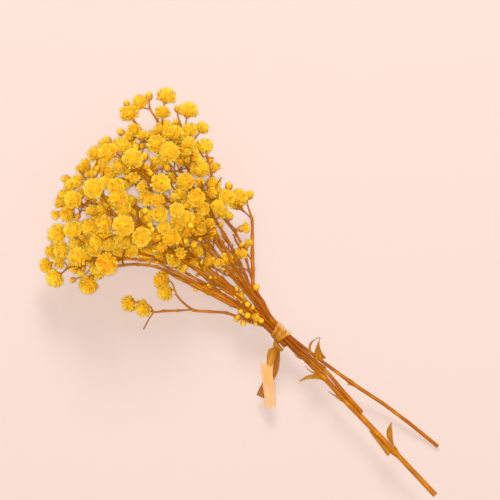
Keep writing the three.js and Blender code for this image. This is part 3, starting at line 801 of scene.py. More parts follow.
widths = [line.width for line in all_heads()]
print({kind: sum(head_kind(width) == kind for width in widths) for kind in HEAD_ROOT})

# %% [markdown]
# ## Smooth twigs
#
# Dried stalks have no sharp corners except at their nodes, and even a straight one wavers a little. A curve
# object could give smooth twigs, but then the radius, the streaks and the nodes would be hard to place. So
# each twig gets its own course: Bezier arcs through its joints, a slight waver that is nothing at the
# joints, a ring every millimetre or so, and a swelling at each node. A side twig first follows its parent
# and then turns away.
#
# The solids have a few stout radii. Here each gets a finer one for a twig, or a stouter one for a stalk.
# The noise behind the waver takes a new seed at each start of Blender unless it is given one, so it gets one
# here, and the bunch comes out the same each time.

# %% Courses
NOISE_SEED = 3
RING_STEP = 0.9
WAVER = {"size": 0.2, "scale": 0.16, "full_at": 4}
BEND = 1.6
FOLLOW_PARENT = 0.45
DRAWN_RADIUS = {0.3: 0.22, 0.38: 0.22, 0.44: 0.3, 0.5: 0.45, 0.45: 0.5}
NODE_SWELLING = {"share": 0.35, "length": 0.55}

noise.seed_set(NOISE_SEED)


def headings_at(places):
    """The heading at each of the places along a line."""
    steps = [(after - before).normalized() for before, after in zip(places, places[1:])]
    return [steps[0]] + [(a + b).normalized() for a, b in zip(steps, steps[1:])] + [steps[-1]]


def swell(line, places, smooth, thick):
    """Thickens a twig near its nodes."""
    nodes = [place for place, joint in zip(places[1:-1], line.joints[1:-1]) if not joint.held]
    for i, place in enumerate(smooth):
        near = min(((place - node).length for node in nodes), default=math.inf)
        thick[i] *= 1 + NODE_SWELLING["share"] * math.exp(-((near / NODE_SWELLING["length"]) ** 2))


def course(line, ahead):
    """The smooth course of a twig: places, radii, and the heading at each joint."""
    places = [joint.place for joint in line.joints]
    if line.width:
        places[-1] = head_root(line)
    headings = headings_at(places)
    if ahead:
        headings[0] = headings[0].lerp(ahead, FOLLOW_PARENT).normalized()
    if line.width:
        headings[-1] = head_facing(line)
    radii = [DRAWN_RADIUS.get(radius, radius) for radius in line.radii]
    smooth, thick = [], []
    for i in range(len(places) - 1):
        start, end = places[i], places[i + 1]
        third = (end - start).length / 3
        handle = min(third, BEND)
        count = max(3, round((end - start).length / RING_STEP) + 1)
        firm = line.joints[i].held and line.joints[i + 1].held
        arc = geometry.interpolate_bezier(
            start, start + headings[i] * handle, end - headings[i + 1] * handle, end, count
        )
        for k, place in enumerate(arc):
            if i and k == 0:
                continue
            share = k / (count - 1)
            size = WAVER["size"] * math.sin(math.pi * share) * min(1, third / WAVER["full_at"])
            smooth.append(place + noise.noise_vector(place * WAVER["scale"]) * (0 if firm else size))
            thick.append(radii[i] + (radii[i + 1] - radii[i]) * share)
    swell(line, places, smooth, thick)
    return smooth, thick, headings


places, _, _ = course(sprays["near_centre"][0], None)
print("rings along the longest stalk:", len(places))

# %% [markdown]
# ## Rods
#
# A twig's shape is one circle, drawn out from ring to ring with extrude and closed at both ends. Each ring
# is turned as little as possible against the one before, or the twig would look wrung.

# %% Rings
def in_metres(place):
    return (place + TIE) * MM


to_metres = Matrix.Scale(MM, 4) @ Matrix.Translation(TIE)


def ring_frames(places, radii):
    """A matrix for each ring of a rod, with its Z axis along the rod."""
    heading = (places[1] - places[0]).normalized()
    side = heading.orthogonal().normalized()
    frames = []
    for i, place in enumerate(places):
        ahead = (places[min(i + 1, len(places) - 1)] - places[max(i - 1, 0)]).normalized()
        side = heading.rotation_difference(ahead) @ side
        side = (side - ahead * side.dot(ahead)).normalized()
        heading = ahead
        turn = Matrix((side, heading.cross(side), heading)).transposed().to_4x4()
        frames.append(Matrix.Translation(place) @ turn @ Matrix.Diagonal((radii[i], radii[i], 1, 1)))
    return frames


def faces_of(verts):
    """All faces round the given points, each once and in a steady order."""
    return list(dict.fromkeys(face for vert in verts for face in vert.link_faces))


def draw_out(bm, frames, sides):
    """Draws a circle out through the frames and closes both ends. Gives the rings and the two end faces."""
    ring = bmesh.ops.create_circle(bm, segments=sides, radius=1)["verts"]
    edges = list(dict.fromkeys(edge for vert in ring for edge in vert.link_edges))
    bmesh.ops.transform(bm, matrix=frames[0], verts=ring)
    rings = [ring]
    ends = bmesh.ops.contextual_create(bm, geom=edges)["faces"]
    for before, frame in zip(frames, frames[1:]):
        drawn = bmesh.ops.extrude_edge_only(bm, edges=edges)["geom"]
        ring = [part for part in drawn if isinstance(part, bmesh.types.BMVert)]
        edges = [part for part in drawn if isinstance(part, bmesh.types.BMEdge)]
        bmesh.ops.transform(bm, matrix=frame @ before.inverted(), verts=ring)
        rings.append(ring)
    ends += bmesh.ops.contextual_create(bm, geom=edges)["faces"]
    bmesh.ops.recalc_face_normals(bm, faces=faces_of(vert for ring in rings for vert in ring))
    return rings, ends


test = bmesh.new()
rings, _ = draw_out(test, ring_frames([Vector((0, 0, z)) for z in range(3)], [1, 1, 1]), 6)
print("a rod of", len(rings), "rings has", len(test.faces), "faces")
test.free()

# %% [markdown]
# The points of a rod carry two attributes for the finish: `grain`, which runs round and along the twig in
# millimetres, and `tone`, which holds how stout it is there, a chance value for each twig, and how near the
# raffia it is, which the finish turns into painted shade.

# %% Rods
TWIG_SIDES = 6
STALK_SIDES = 10
STOUT = {"from": 0.24, "to": 0.7}
TIE_SHADE_REACH = 26
RAFFIA_MIDDLE = Vector((0, 0, TIE_HEIGHT))


def new_stems():
    bm = bmesh.new()
    bm.verts.layers.float_vector.new("grain")
    bm.verts.layers.float_vector.new("tone")
    return bm


def tone_at(place, radius, chance):
    stout = clamp((radius - STOUT["from"]) / (STOUT["to"] - STOUT["from"]))
    return Vector((stout, chance, math.exp(-(((place - RAFFIA_MIDDLE).length / TIE_SHADE_REACH) ** 2))))


def rod(bm, places, radii, chance):
    """Adds one twig along a course. Gives its two end faces."""
    grain = bm.verts.layers.float_vector["grain"]
    tone = bm.verts.layers.float_vector["tone"]
    sides = STALK_SIDES if max(radii) > STALK_RADIUS else TWIG_SIDES
    frames = ring_frames(places, radii)
    rings, ends = draw_out(bm, [to_metres @ frame for frame in frames], sides)
    along = 0
    for i, ring in enumerate(rings):
        along += (places[i] - places[i - 1]).length if i else 0
        inverse = frames[i].inverted()
        for vert in ring:
            around = (inverse @ (vert.co / MM - TIE)) * radii[i]
            vert[grain] = (around.x, around.y, along)
            vert[tone] = tone_at(places[i], radii[i], chance)
    return ends


print("tone of a stout stalk at the tie:", tuple(round(value, 2) for value in tone_at(RAFFIA_MIDDLE, 1, 0.5)))

# %% [markdown]
# ## Petals
#
# A double gypsophila floret is a pompom of small wedge-shaped petals with notched tips. One petal is a small
# grid, narrow at its foot, cupped across and bent out at its tip. Petals could be textured onto a ball, but
# from the side the outline would be smooth, and the ragged outline is what makes these florets look soft.
#
# The attribute `petal` holds how far out along its petal a point is, a chance value for the petal, and how
# orange the whole head is, partly by painted shade deep in the bunch, which is set when the head goes onto its
# twig.

# %% Petal
PETAL = {"foot": 0.05, "belly": 0.12, "tip": 0.155, "notch": 0.06, "cup": 0.04, "bend": 0.1}
JITTER = {"lean": 7, "spin": 14, "twist": 50, "length": 0.08, "crinkle": 0.06}


def jitter(kind, chance):
    return chance.uniform(-JITTER[kind], JITTER[kind])


def new_bloom():
    bm = bmesh.new()
    bm.verts.layers.float_vector.new("petal")
    return bm


def add_petal(bm, lean, spin, length, base, chance):
    """One petal on its foot at a base on the head's axis, before it gets its thickness."""
    layer = bm.verts.layers.float_vector["petal"]
    shade = chance.random()
    half_widths = [PETAL["foot"], PETAL["belly"], PETAL["tip"]]
    verts = bmesh.ops.create_grid(bm, x_segments=2, y_segments=2, size=1)["verts"]
    for vert in verts:
        across, along = round(vert.co.x), round(vert.co.y) + 1
        reach = along / 2
        notch = PETAL["notch"] if across == 0 and along == 2 else 0
        curl = PETAL["bend"] * reach**2 - PETAL["cup"] * across**2 * reach
        crinkle = jitter("crinkle", chance) * along
        vert.co = (curl + crinkle, across * half_widths[along], reach * length - notch)
        vert[layer] = (reach, shade, 0)
    turn = (
        Matrix.Translation((0, 0, base))
        @ Matrix.Rotation(math.radians(spin), 4, "Z")
        @ Matrix.Rotation(math.radians(lean), 4, "Y")
        @ Matrix.Rotation(math.radians(jitter("twist", chance)), 4, "Z")
    )
    bmesh.ops.transform(bm, matrix=turn, verts=verts)


test = new_bloom()
add_petal(test, 0, 0, 1, 0, random.Random(0))
print("faces of a flat petal:", len(test.faces))
test.free()

# %% [markdown]
# All petals of a head rise from one place low in it, where the cup holds them, and their tips end on a
# dome. A turn of 137.5 degrees from each petal to the next spreads them evenly, as seeds are in a sunflower,
# with no rows that would show. A small ball inside closes the gaps between their feet. A full floret's dome
# goes on past its widest place, and a half-open head has fewer petals on a narrower dome, like a bell.

# %% Heads of petals
POMPOMS = {
    "floret": {"petals": 124, "widest": 114, "reach": 0.98, "base": -0.58, "core": 0.66},
    "bell": {"petals": 44, "widest": 66, "reach": 1.05, "base": -0.7, "core": 0.42},
}
PETAL_WALL = 0.025
# The small ball inside takes the colour that petals have part way out, within the painted shade of the
# floret's depth.
CORE_REACH = 0.45
GOLDEN_TURN = 137.5
VARIANTS = 6


def finished_mesh(name, bm):
    """Turns a bmesh into a mesh."""
    mesh = bpy.data.meshes.new(name)
    bm.to_mesh(mesh)
    bm.free()
    return mesh


def petal_head(kind, seed):
    """A head of petals, of unit radius round the origin, looking along +Z."""
    chance = random.Random(seed)
    plan = POMPOMS[kind]
    rim = math.cos(math.radians(plan["widest"]))
    bm = new_bloom()
    for i in range(plan["petals"]):
        share = (i + 0.5) / plan["petals"]
        down = math.acos(1 - share * (1 - rim))
        reach = plan["reach"] * (1 + jitter("length", chance))
        out, up = reach * math.sin(down), reach * math.cos(down) - plan["base"]
        lean = math.degrees(math.atan2(out, up)) + jitter("lean", chance)
        spin = i * GOLDEN_TURN + jitter("spin", chance)
        add_petal(bm, lean, spin, math.hypot(out, up), plan["base"], chance)
    bmesh.ops.solidify(bm, geom=bm.faces[:], thickness=PETAL_WALL)
    core = bmesh.ops.create_icosphere(bm, subdivisions=2, radius=plan["core"])["verts"]
    for vert in core:
        vert[bm.verts.layers.float_vector["petal"]] = (CORE_REACH, 0.5, 0)
    return finished_mesh(kind, bm)


petals = {kind: [petal_head(kind, seed) for seed in range(VARIANTS)] for kind in POMPOMS}
for kind, meshes in petals.items():
    print(kind, "faces:", len(meshes[0].polygons))

# %% [markdown]
# ## Buds and cups
#
# A closed bud shows only a small ball of furled petals. Petals rolled one by one would be lost at this size,
# so a sphere of few faces does, with five folds that wind round it.

# %% Buds
BUD = {"radius": 0.72, "height": 0.38, "folds": 5, "depth": 0.12, "wind": 2.6}
# A bud is painted more orange lower down and in the grooves between its folds, as painted shade.
BUD_PAINTED_SHADE = {"middle": 0.55, "rise": 0.3, "fold": 0.12}
BUD_GRID = {"u_segments": 15, "v_segments": 8}


def bud_ball(seed):
    """The furled petals of a bud."""
    bm = new_bloom()
    layer = bm.verts.layers.float_vector["petal"]
    verts = bmesh.ops.create_uvsphere(bm, **BUD_GRID, radius=BUD["radius"])["verts"]
    for vert in verts:
        around = math.atan2(vert.co.y, vert.co.x)
        fold = math.cos(BUD["folds"] * around + BUD["wind"] * vert.co.z + seed)
        # Painted shade: lower down and in the grooves the reach is less, so the bud is more orange there.
        reach = BUD_PAINTED_SHADE["middle"] + BUD_PAINTED_SHADE["rise"] * vert.co.z / BUD["radius"] + BUD_PAINTED_SHADE["fold"] * fold
        vert[layer] = (reach, 0.5, 0)
        vert.co *= 1 + BUD["depth"] * fold
        vert.co.z += BUD["height"]
    return finished_mesh("bud", bm)


petals["bud"] = [bud_ball(seed) for seed in range(VARIANTS)]
print("faces of a bud:", len(petals["bud"][0].polygons))

# %% [markdown]
# Under every head sits the calyx, a ribbed cup with five teeth: a circle drawn out through a few rings, with
# every second point of its rim pulled out to a tooth. Each ring is a distance from the axis and a height.

# %% Cups
CUPS = {
    "floret": [(0.1, -0.76), (0.25, -0.7), (0.33, -0.5), (0.36, -0.3), (0.12, -0.36)],
    "bell": [(0.12, -1.02), (0.38, -0.9), (0.52, -0.55), (0.5, -0.1), (0.15, -0.3)],
    "bud": [(0.14, -1.12), (0.56, -0.95), (0.86, -0.5), (0.9, -0.02), (0.8, 0.32), (0.3, 0.2)],
}
CUP_SIDES = 10
CUP_RIB = 0.06
CUP_TOOTH = {"floret": 0.14, "bell": 0.24, "bud": 0.26}


def cup(kind):
    """The calyx under a head."""
    bm = new_stems()
    frames = [
        Matrix.Translation((0, 0, height)) @ Matrix.Diagonal((distance, distance, 1, 1))
        for distance, height in CUPS[kind]
    ]
    rings, _ = draw_out(bm, frames, CUP_SIDES)
    for ring in rings[1:-1]:
        for vert in ring[::2]:
            vert.co.xy *= 1 + CUP_RIB
    for vert in rings[-2][::2]:
        vert.co.z += CUP_TOOTH[kind]
        vert.co.xy *= 1 + CUP_RIB
    for vert in bm.verts:
        vert[bm.verts.layers.float_vector["grain"]] = vert.co
    for face in bm.faces:
        face.material_index = 1
    return finished_mesh("cup_" + kind, bm)


cups = {kind: cup(kind) for kind in CUPS}
print("faces of a cup:", len(cups["bud"].polygons))

# %% [markdown]
# ## Finishes
#
# Everything here was dipped in the same yellow dye, and each part took it differently. Petals are matt and
# let some light through. They are yellow at their tips and painted orange towards their feet, which is painted
# shade deep in the floret. Stalks are streaked orange-brown.
# Colours are written as they look on a screen and turned into the linear values that shaders want.

# %% Colours
def seen(colour):
    """The linear value, by the sRGB curve, of a colour that is written as it looks, such as #ffd633."""
    parts = [int(colour[i : i + 2], 16) / 255 for i in (1, 3, 5)]
    return tuple(((part + 0.055) / 1.055) ** 2.4 if part > 0.04 else part / 12.92 for part in parts) + (1,)


print("linear value of #ffd633:", [round(part, 3) for part in seen("#ffd633")])

# %% Helpers for nodes
def add_node(tree, kind, inputs, **settings):
    """Adds a shader node, with its inputs set to values or linked to other nodes' outputs."""
    made = tree.nodes.new("ShaderNode" + kind)
    for name, value in settings.items():
        setattr(made, name, value)
    for socket, value in inputs.items():
        if isinstance(value, bpy.types.NodeSocket):
            tree.links.new(value, made.inputs[socket])
        else:
            made.inputs[socket].default_value = value
    return made


def ramp(tree, factor, stops):
    """A colour ramp with stops as (position, colour)."""
    made = add_node(tree, "ValToRGB", {"Fac": factor})
    elements = made.color_ramp.elements
    while len(elements) < len(stops):
        elements.new(1)
    for element, (position, colour) in zip(elements, stops):
        element.position = position
        element.color = seen(colour)
    return made.outputs["Color"]


def mix(tree, factor, first, second):
    """Two colours mixed by a factor. Each is an output or a colour as it looks."""
    first, second = (seen(value) if isinstance(value, str) else value for value in (first, second))
    return add_node(tree, "Mix", {"Factor": factor, 6: first, 7: second}, data_type="RGBA").outputs[2]


def times(tree, first, second):
    return add_node(tree, "Math", {0: first, 1: second}, operation="MULTIPLY").outputs[0]


def plus(tree, first, second):
    return add_node(tree, "Math", {0: first, 1: second}, operation="ADD").outputs[0]


# %% Helpers for patterns
def object_place(tree):
    return add_node(tree, "TexCoord", {}).outputs["Object"]


def vector_of(tree, name):
    """An attribute of the piece as a vector, and its three values."""
    vector = add_node(tree, "Attribute", {}, attribute_name=name).outputs["Vector"]
    parts = add_node(tree, "SeparateXYZ", {"Vector": vector})
    return vector, *parts.outputs


def noise_at(tree, place, scale, stretch=(1, 1, 1), detail=2):
    """Noise that can be stretched, from 0 to 1."""
    turned = add_node(tree, "Mapping", {"Vector": place, "Scale": stretch}).outputs["Vector"]
    made = add_node(tree, "TexNoise", {"Vector": turned, "Scale": scale, "Detail": detail})
    return made.outputs["Fac"]


def new_finish(name, sockets):
    """A material whose shader has the given sockets set, with its node tree and its shader."""
    material = bpy.data.materials.new(name)
    material.use_nodes = True
    shader = material.node_tree.nodes["Principled BSDF"]
    for socket, value in sockets.items():
        shader.inputs[socket].default_value = value
    return material, material.node_tree, shader


def dress(tree, shader, colour, height, strength=0.3, distance=0.1):
    """Links a colour to the shader, and a height in millimetres as bump."""
    tree.links.new(colour, shader.inputs["Base Color"])
    inputs = {"Height": height, "Strength": strength, "Distance": distance * MM}
    tree.links.new(add_node(tree, "Bump", inputs).outputs["Normal"], shader.inputs["Normal"])


# %% Petal finish
petal_finish, tree, shader = new_finish(
    "dyed_petals",
    {
        "Roughness": 0.8,
        "Specular IOR Level": 0.15,
        "Subsurface Weight": 0.5,
        "Subsurface Scale": 0.4 * MM,
        "Subsurface Radius": (1, 0.55, 0.12),
    },
)
_, reach, shade, head = vector_of(tree, "petal")
blotch = noise_at(tree, object_place(tree), 900)
# Painted shade: along each petal the colour goes from orange at its foot, deep in the floret, to yellow at its
# tip.
yellow = ramp(tree, reach, [(0, "#f08c00"), (0.4, "#f8b80c"), (0.75, "#f7c71e"), (1, "#f8ce46")])
orange = ramp(tree, reach, [(0, "#e87800"), (0.4, "#f0a000"), (1, "#eeb01c")])
# The petal's chance and its head's value, which holds painted shade deep in the bunch, choose yellow or
# orange.
tone_and_deep_shade = plus(tree, times(tree, shade, 0.5), times(tree, head, 0.5))
share = ramp(tree, tone_and_deep_shade, [(0.45, "#000000"), (0.8, "#ffffff")])
dyed = mix(tree, share, yellow, orange)
faded = mix(tree, times(tree, blotch, 0.2), dyed, "#f4b000")
dress(tree, shader, faded, blotch, 0.25, 0.08)
print("nodes of the petal finish:", len(tree.nodes))

# %% [markdown]
# A twig's colour goes by how stout it is, and it is painted browner near the raffia, as painted shade in the
# tight bundle there. Dark and light streaks run along its grain.

# %% Stalk finish
stalk_finish, tree, shader = new_finish(
    "dyed_stalks",
    {
        "Roughness": 0.55,
        "Specular IOR Level": 0.12,
        "Subsurface Weight": 0.08,
        "Subsurface Scale": 0.3 * MM,
    },
)
grain, _, _, _ = vector_of(tree, "grain")
_, stout, twig, near = vector_of(tree, "tone")
streak = noise_at(tree, grain, 1, (5, 5, 0.22), 3)
patch = noise_at(tree, grain, 1, (0.3, 0.3, 0.18))
bark = ramp(tree, stout, [(0, "#c48600"), (0.3, "#cc7e00"), (0.6, "#cc7800"), (1, "#d68400")])
aged = mix(tree, times(tree, twig, 0.65), bark, "#8a4200")
# Painted shade: browner near the raffia, where the stalks lie tight.
shaded_near_tie = mix(tree, times(tree, near, 0.55), aged, "#823400")
dark_streaks = ramp(tree, streak, [(0.42, "#000000"), (0.62, "#ffffff")])
streaked = mix(tree, times(tree, dark_streaks, 0.6), shaded_near_tie, "#7c2e00")
light_streaks = ramp(tree, patch, [(0.5, "#000000"), (0.75, "#ffffff")])
lit = mix(tree, times(tree, light_streaks, 0.45), streaked, "#f0a000")
dress(tree, shader, lit, streak, 0.4, 0.15)
print("nodes of the stalk finish:", len(tree.nodes))

# %% [markdown]
# A cup is darker at its foot and lightly blotched. Where a stalk was cut, its pale pith shows.

# %% Cup and pith finishes
cup_finish, tree, shader = new_finish("dyed_cups", {"Roughness": 0.65})
_, _, _, height = vector_of(tree, "grain")
spot = object_place(tree)
risen = ramp(tree, height, [(0, "#cc8c00"), (0.3, "#f0b000")])
blotched = mix(tree, times(tree, noise_at(tree, spot, 1500), 0.5), risen, "#c08800")
dress(tree, shader, blotched, noise_at(tree, spot, 2500))

pith_finish, tree, shader = new_finish("pith", {"Roughness": 0.9})
pale = mix(tree, noise_at(tree, object_place(tree), 3000), "#f0cf90", "#c98a38")
tree.links.new(pale, shader.inputs["Base Color"])
print("finishes:", petal_finish.name, stalk_finish.name, cup_finish.name, pith_finish.name)

# %% [markdown]
# ## The sprays
#
# Now each spray becomes two pieces, because florets and stalks take different finishes: all its petals, and
# all its wood with the cups. One piece for each floret would also do, but hundreds of pieces are slow to
# handle, and a spray of the solids is one piece too.
#
# A piece gets its creases and its finishes. It rides on the bunch, and the node of the solids that it stands
# for is hidden.

# %% Finishing a piece
CREASE = math.radians(50)


def finish_piece(name, bm, finishes, node):
    """Makes a piece from a bmesh. It rides on the bunch and stands for a node of the solids."""
    for face in bm.faces:
        face.smooth = True
    for edge in bm.edges:
        edge.smooth = edge.calc_face_angle(0) < CREASE
    mesh = finished_mesh(name, bm)
    for finish in finishes:
        mesh.materials.append(finish)
    made = bpy.data.objects.new(name, mesh)
    scene.collection.objects.link(made)
    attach(made, "root")
    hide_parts(node)
    print(name, "triangles:", sum(len(face.vertices) - 2 for face in mesh.polygons))


# %% [markdown]
# The lowest florets and twigs rest on the surface, and their own weight flattens them there. So what would
# sink below it is pressed into a thin layer on it.

# %% Pressing flat
PRESSED = 0.6


def pressed(height):
    """The height in metres that a point comes to when it can't sink below the surface."""
    layer = PRESSED * MM
    return layer * math.exp(height / layer - 1) if height < layer else height


def press_flat(bm):
    for vert in bm.verts:
        vert.co.z = pressed(vert.co.z)


for height in (1, 0, -1):
    print("a point at", height, "mm comes to", round(pressed(height * MM) / MM, 3))

# %% [markdown]
# Each head is a copy of one of the few that were made, scaled, spun and turned to its facing. Heads deep in
# the bunch are more orange, which is painted shade there, and each head is also more or less orange by chance.

# %% Placing heads
DEEP_SHADE = {"place": Vector((-50, 0, 12)), "reach": 17, "share": 0.75, "chance": 0.75}


def head_matrix(line, chance):
    """Where a head's unit mesh goes: scaled, spun, turned to its facing and set on its twig."""
    turn = head_facing(line).to_track_quat("Z", "Y").to_matrix().to_4x4()
    spin = Matrix.Rotation(chance.uniform(0, math.tau), 4, "Z")
    size = line.width / 2 * MM
    return Matrix.Translation(in_metres(line.joints[-1].place)) @ turn @ spin @ Matrix.Scale(size, 4)


def head_shade(place, chance):
    """How orange a head is, from 0 to 1: by chance, and by painted shade deep in the bunch."""
    deep = math.exp(-(((place - DEEP_SHADE["place"]).length / DEEP_SHADE["reach"]) ** 2))
    return clamp(DEEP_SHADE["chance"] * chance.random() + DEEP_SHADE["share"] * deep)


def add_copy(bm, mesh, matrix, layer, mark):
    """Adds a placed copy of a mesh to a bmesh, and marks its points in a layer."""
    part = mesh.copy()
    part.transform(matrix)
    known = len(bm.verts)
    bm.from_mesh(part)
    bpy.data.meshes.remove(part)
    bm.verts.ensure_lookup_table()
    key = bm.verts.layers.float_vector[layer]
    for vert in bm.verts[known:]:
        vert[key] = mark(vert[key])


def add_head(wood, bloom, line, chance):
    """Adds the petals and the cup of the head at a line's end."""
    kind = head_kind(line.width)
    matrix, shade = head_matrix(line, chance), head_shade(line.joints[-1].place, chance)
    mesh = chance.choice(petals[kind])
    add_copy(bloom, mesh, matrix, "petal", lambda petal: Vector((petal.x, petal.y, shade)))
    add_copy(wood, cups[kind], matrix, "tone", lambda tone: Vector((0, shade, 0)))


luck = random.Random(0)
shades = [head_shade(line.joints[-1].place, luck) for line in all_heads()]
print("shades of the heads:", round(min(shades), 2), "to", round(max(shades), 2))

# %% [markdown]
# A cut end shows its pith, a little sunk into the stalk. At each fork sits a pair of bracts, which are small
# pointed scales. They are tiny, but without them a fork looks like bent wire.

# %% Cut ends and bracts
CUT_END = {"inset": 0.3, "depth": 0.12}
BRACT = {"length": 1.7, "width": 0.55, "tip": 0.02, "lift": 0.5, "cup": 0.12, "wall": 0.12}
BRACT_LENGTHS = (0.6, 1.1)
BRACT_SEAT = 0.28
BRACT_STOUT = 0.3


def cut_face(bm, end, radius):
    """Shows the pale pith in a stalk's cut end."""
    bmesh.ops.inset_region(bm, faces=[end], thickness=CUT_END["inset"] * radius * MM)
    end.material_index = 2
    bmesh.ops.translate(bm, vec=-end.normal * CUT_END["depth"] * MM, verts=end.verts[:])


def add_bract(bm, place, heading, way, chance):
    """One pointed scale at a node, on the side that a way points to."""
    verts = bmesh.ops.create_grid(bm, x_segments=2, y_segments=3, size=1)["verts"]
    across_way = heading.cross(way)
    length = BRACT["length"] * chance.uniform(*BRACT_LENGTHS)
    for vert in verts:
        across, along = vert.co.x, (vert.co.y + 1) / 2
        half = BRACT["width"] / 2 * (1 - along) ** 0.7 + BRACT["tip"]
        out = BRACT_SEAT + BRACT["lift"] * along**2 - BRACT["cup"] * across**2
        point = place + heading * along * length + way * out + across_way * across * half
        vert.co = in_metres(point)
        vert[bm.verts.layers.float_vector["grain"]] = (across, 0, along)
        vert[bm.verts.layers.float_vector["tone"]] = (BRACT_STOUT, chance.random(), 0)
    bmesh.ops.solidify(bm, geom=faces_of(verts), thickness=BRACT["wall"] * MM)


def add_bracts(bm, place, heading, chance):
    """A pair of bracts at a node."""
    side = heading.orthogonal().normalized()
    side.rotate(Matrix.Rotation(chance.uniform(0, math.tau), 3, heading))
    for way in (side, -side):
        add_bract(bm, place, heading, way, chance)


test = new_stems()
add_bracts(test, Vector((0, 0, 0)), UP, random.Random(0))
print("faces of a pair of bracts:", len(test.faces))
test.free()

# %% [markdown]
# With these parts a spray can be put together. A chance value goes to each twig and each head, from one
# seeded source, so that no two look alike and the bunch still comes out the same each time.

# %% Sprays
def spray_pieces(name, lines, chance):
    """Makes the two pieces of a spray."""
    wood, bloom = new_stems(), new_bloom()
    headings = {}
    for number, line in enumerate(lines):
        places, radii, ways = course(line, headings.get(line.joints[0]))
        for joint, way in zip(line.joints, ways):
            headings.setdefault(joint, way)
        ends = rod(wood, places, radii, chance.random())
        if number == 0:
            cut_face(wood, ends[0], radii[0])
        if line.width:
            add_head(wood, bloom, line, chance)
    for line in lines[1:]:
        if not line.joints[0].held:
            add_bracts(wood, line.joints[0].place, headings[line.joints[0]], chance)
    press_flat(wood)
    press_flat(bloom)
    node = "spray_" + name
    finish_piece("stems_" + name, wood, [stalk_finish, cup_finish, pith_finish], node)
    if bloom.verts:
        finish_piece("florets_" + name, bloom, [petal_finish], node)


chance = random.Random(11)
for name, lines in sprays.items():
    spray_pieces(name, lines, chance)

# %% [markdown]
# ## Leaves on the long stems
#
# The long stems keep a few leaves: narrow, pointed, folded along the middle, and dried brown with darker
# edges. A flat card could stand for a leaf, but a dry leaf is bent and rippled, and its edge shows that. So
# each is a grid laid along a bent route from its root to its tip.
#
# A leaf has its spray, its route, its width and its shape. A blade is widest in its middle, and a stalked
# leaf stands on a narrow foot. A sheath is widest at its root, where it holds the stem, and a clasp keeps
# its width longer than a sheath.

# %% Plan of the leaves
LEAVES = [
    ("right_top", ((16.6, 3.6, 8.1), (13, 5.4, 9.4), (10.9, 9.5, 10.5)), 5, "sheath"),
    ("right_top", ((12.5, 3.2, 8.2), (8.6, 4.6, 9.4), (10.6, 9.4, 9.6)), 0.8, "blade"),
    ("right_top", ((31.2, 5.8, 6.3), (30.9, 5, 7.2), (30.3, 4, 7.2)), 0.9, "sheath"),
    ("near_centre", ((22.8, -0.2, 8.5), (18.4, -1.6, 9.8), (16.9, -7.3, 9)), 1.7, "blade"),
    ("near_centre", ((20.5, -0.6, 8.8), (17, -2.2, 9.3), (14.4, -1.9, 9.2)), 0.9, "sheath"),
    ("near_centre", ((11.6, -0.6, 8.7), (10, -1.9, 9), (8.4, -1.5, 9.1)), 1, "sheath"),
    ("near_centre", ((9, 0.9, 7.4), (15, 1.2, 7.5), (22.5, 1.3, 7.8)), 2, "blade"),
    ("near_centre", ((33.2, -0.8, 8.9), (30.3, -1.8, 9.4), (27, -2.4, 9.2)), 1.6, "sheath"),
    ("near_centre", ((60.2, 0.4, 9.8), (53.9, 0.6, 11.2), (51.8, 6.1, 11.8)), 2.2, "stalked"),
    ("near_centre", ((59.7, -2.1, 9.5), (54, -1.8, 9.1), (48.1, -1.9, 8.6)), 3.4, "clasp"),
]
print("leaves:", len(LEAVES))

# %% Leaf shapes
FOOT_LENGTH = 0.3


def leaf_profile(shape, along):
    """How wide a leaf is along its length, as a share of its width."""
    if shape == "sheath":
        return (1 - along) ** 1.4
    if shape == "stalked":
        return max(FOOT_LENGTH - along, math.sin(math.pi * along**1.3) ** 1.2)
    if shape == "clasp":
        return (1 - along) ** 0.7
    return math.sin(math.pi * (0.18 + 0.82 * along))


for shape in ("blade", "stalked", "sheath", "clasp"):
    print(shape, [round(leaf_profile(shape, along / 4), 2) for along in range(5)])

# %% Leaf finish
LEAF_EDGE = [(0.65, "#000000"), (1, "#b0b0b0")]

leaf_finish, tree, shader = new_finish("dried_leaf", {"Roughness": 0.6, "Specular IOR Level": 0.15})
vein, across, _, _ = vector_of(tree, "grain")
fibre = noise_at(tree, vein, 1, (7, 1, 0.35), 3)
blade = ramp(tree, fibre, [(0.3, "#703c00"), (0.5, "#a86600"), (0.7, "#cc8e08")])
edge = ramp(tree, add_node(tree, "Math", {0: across}, operation="ABSOLUTE").outputs[0], LEAF_EDGE)
dress(tree, shader, mix(tree, edge, blade, "#6a3200"), fibre, 0.5, 0.12)
print("nodes of the leaf finish:", len(tree.nodes))

# %% Leaves
LEAF = {"fold": 0.25, "wall": 0.22, "least": 0.1, "ripple": 0.12, "ripples": 4}
LEAF_GRID = {"x_segments": 4, "y_segments": 14}


def add_leaf(bm, route, width, shape, seed):
    """One narrow leaf along a bent route."""
    grain = bm.verts.layers.float_vector["grain"]
    root, bend, tip = (Vector(point) for point in route)
    length = (bend - root).length + (tip - bend).length
    verts = bmesh.ops.create_grid(bm, **LEAF_GRID, size=1)["verts"]
    for vert in verts:
        across, along = vert.co.x, (vert.co.y + 1) / 2
        near, far = root.lerp(bend, along), bend.lerp(tip, along)
        heading = (far - near).normalized()
        side = heading.cross(UP).normalized()
        over = side.cross(heading)
        half = max(LEAF["least"], width / 2 * leaf_profile(shape, along))
        place = near.lerp(far, along) + side * across * half + over * abs(across) * half * LEAF["fold"]
        wave = noise.noise_vector(Vector((along * LEAF["ripples"], across, seed)))
        vert.co = in_metres(place + wave * LEAF["ripple"] * along)
        vert[grain] = (across, 0, along * length)
    bmesh.ops.solidify(bm, geom=faces_of(verts), thickness=LEAF["wall"] * MM)


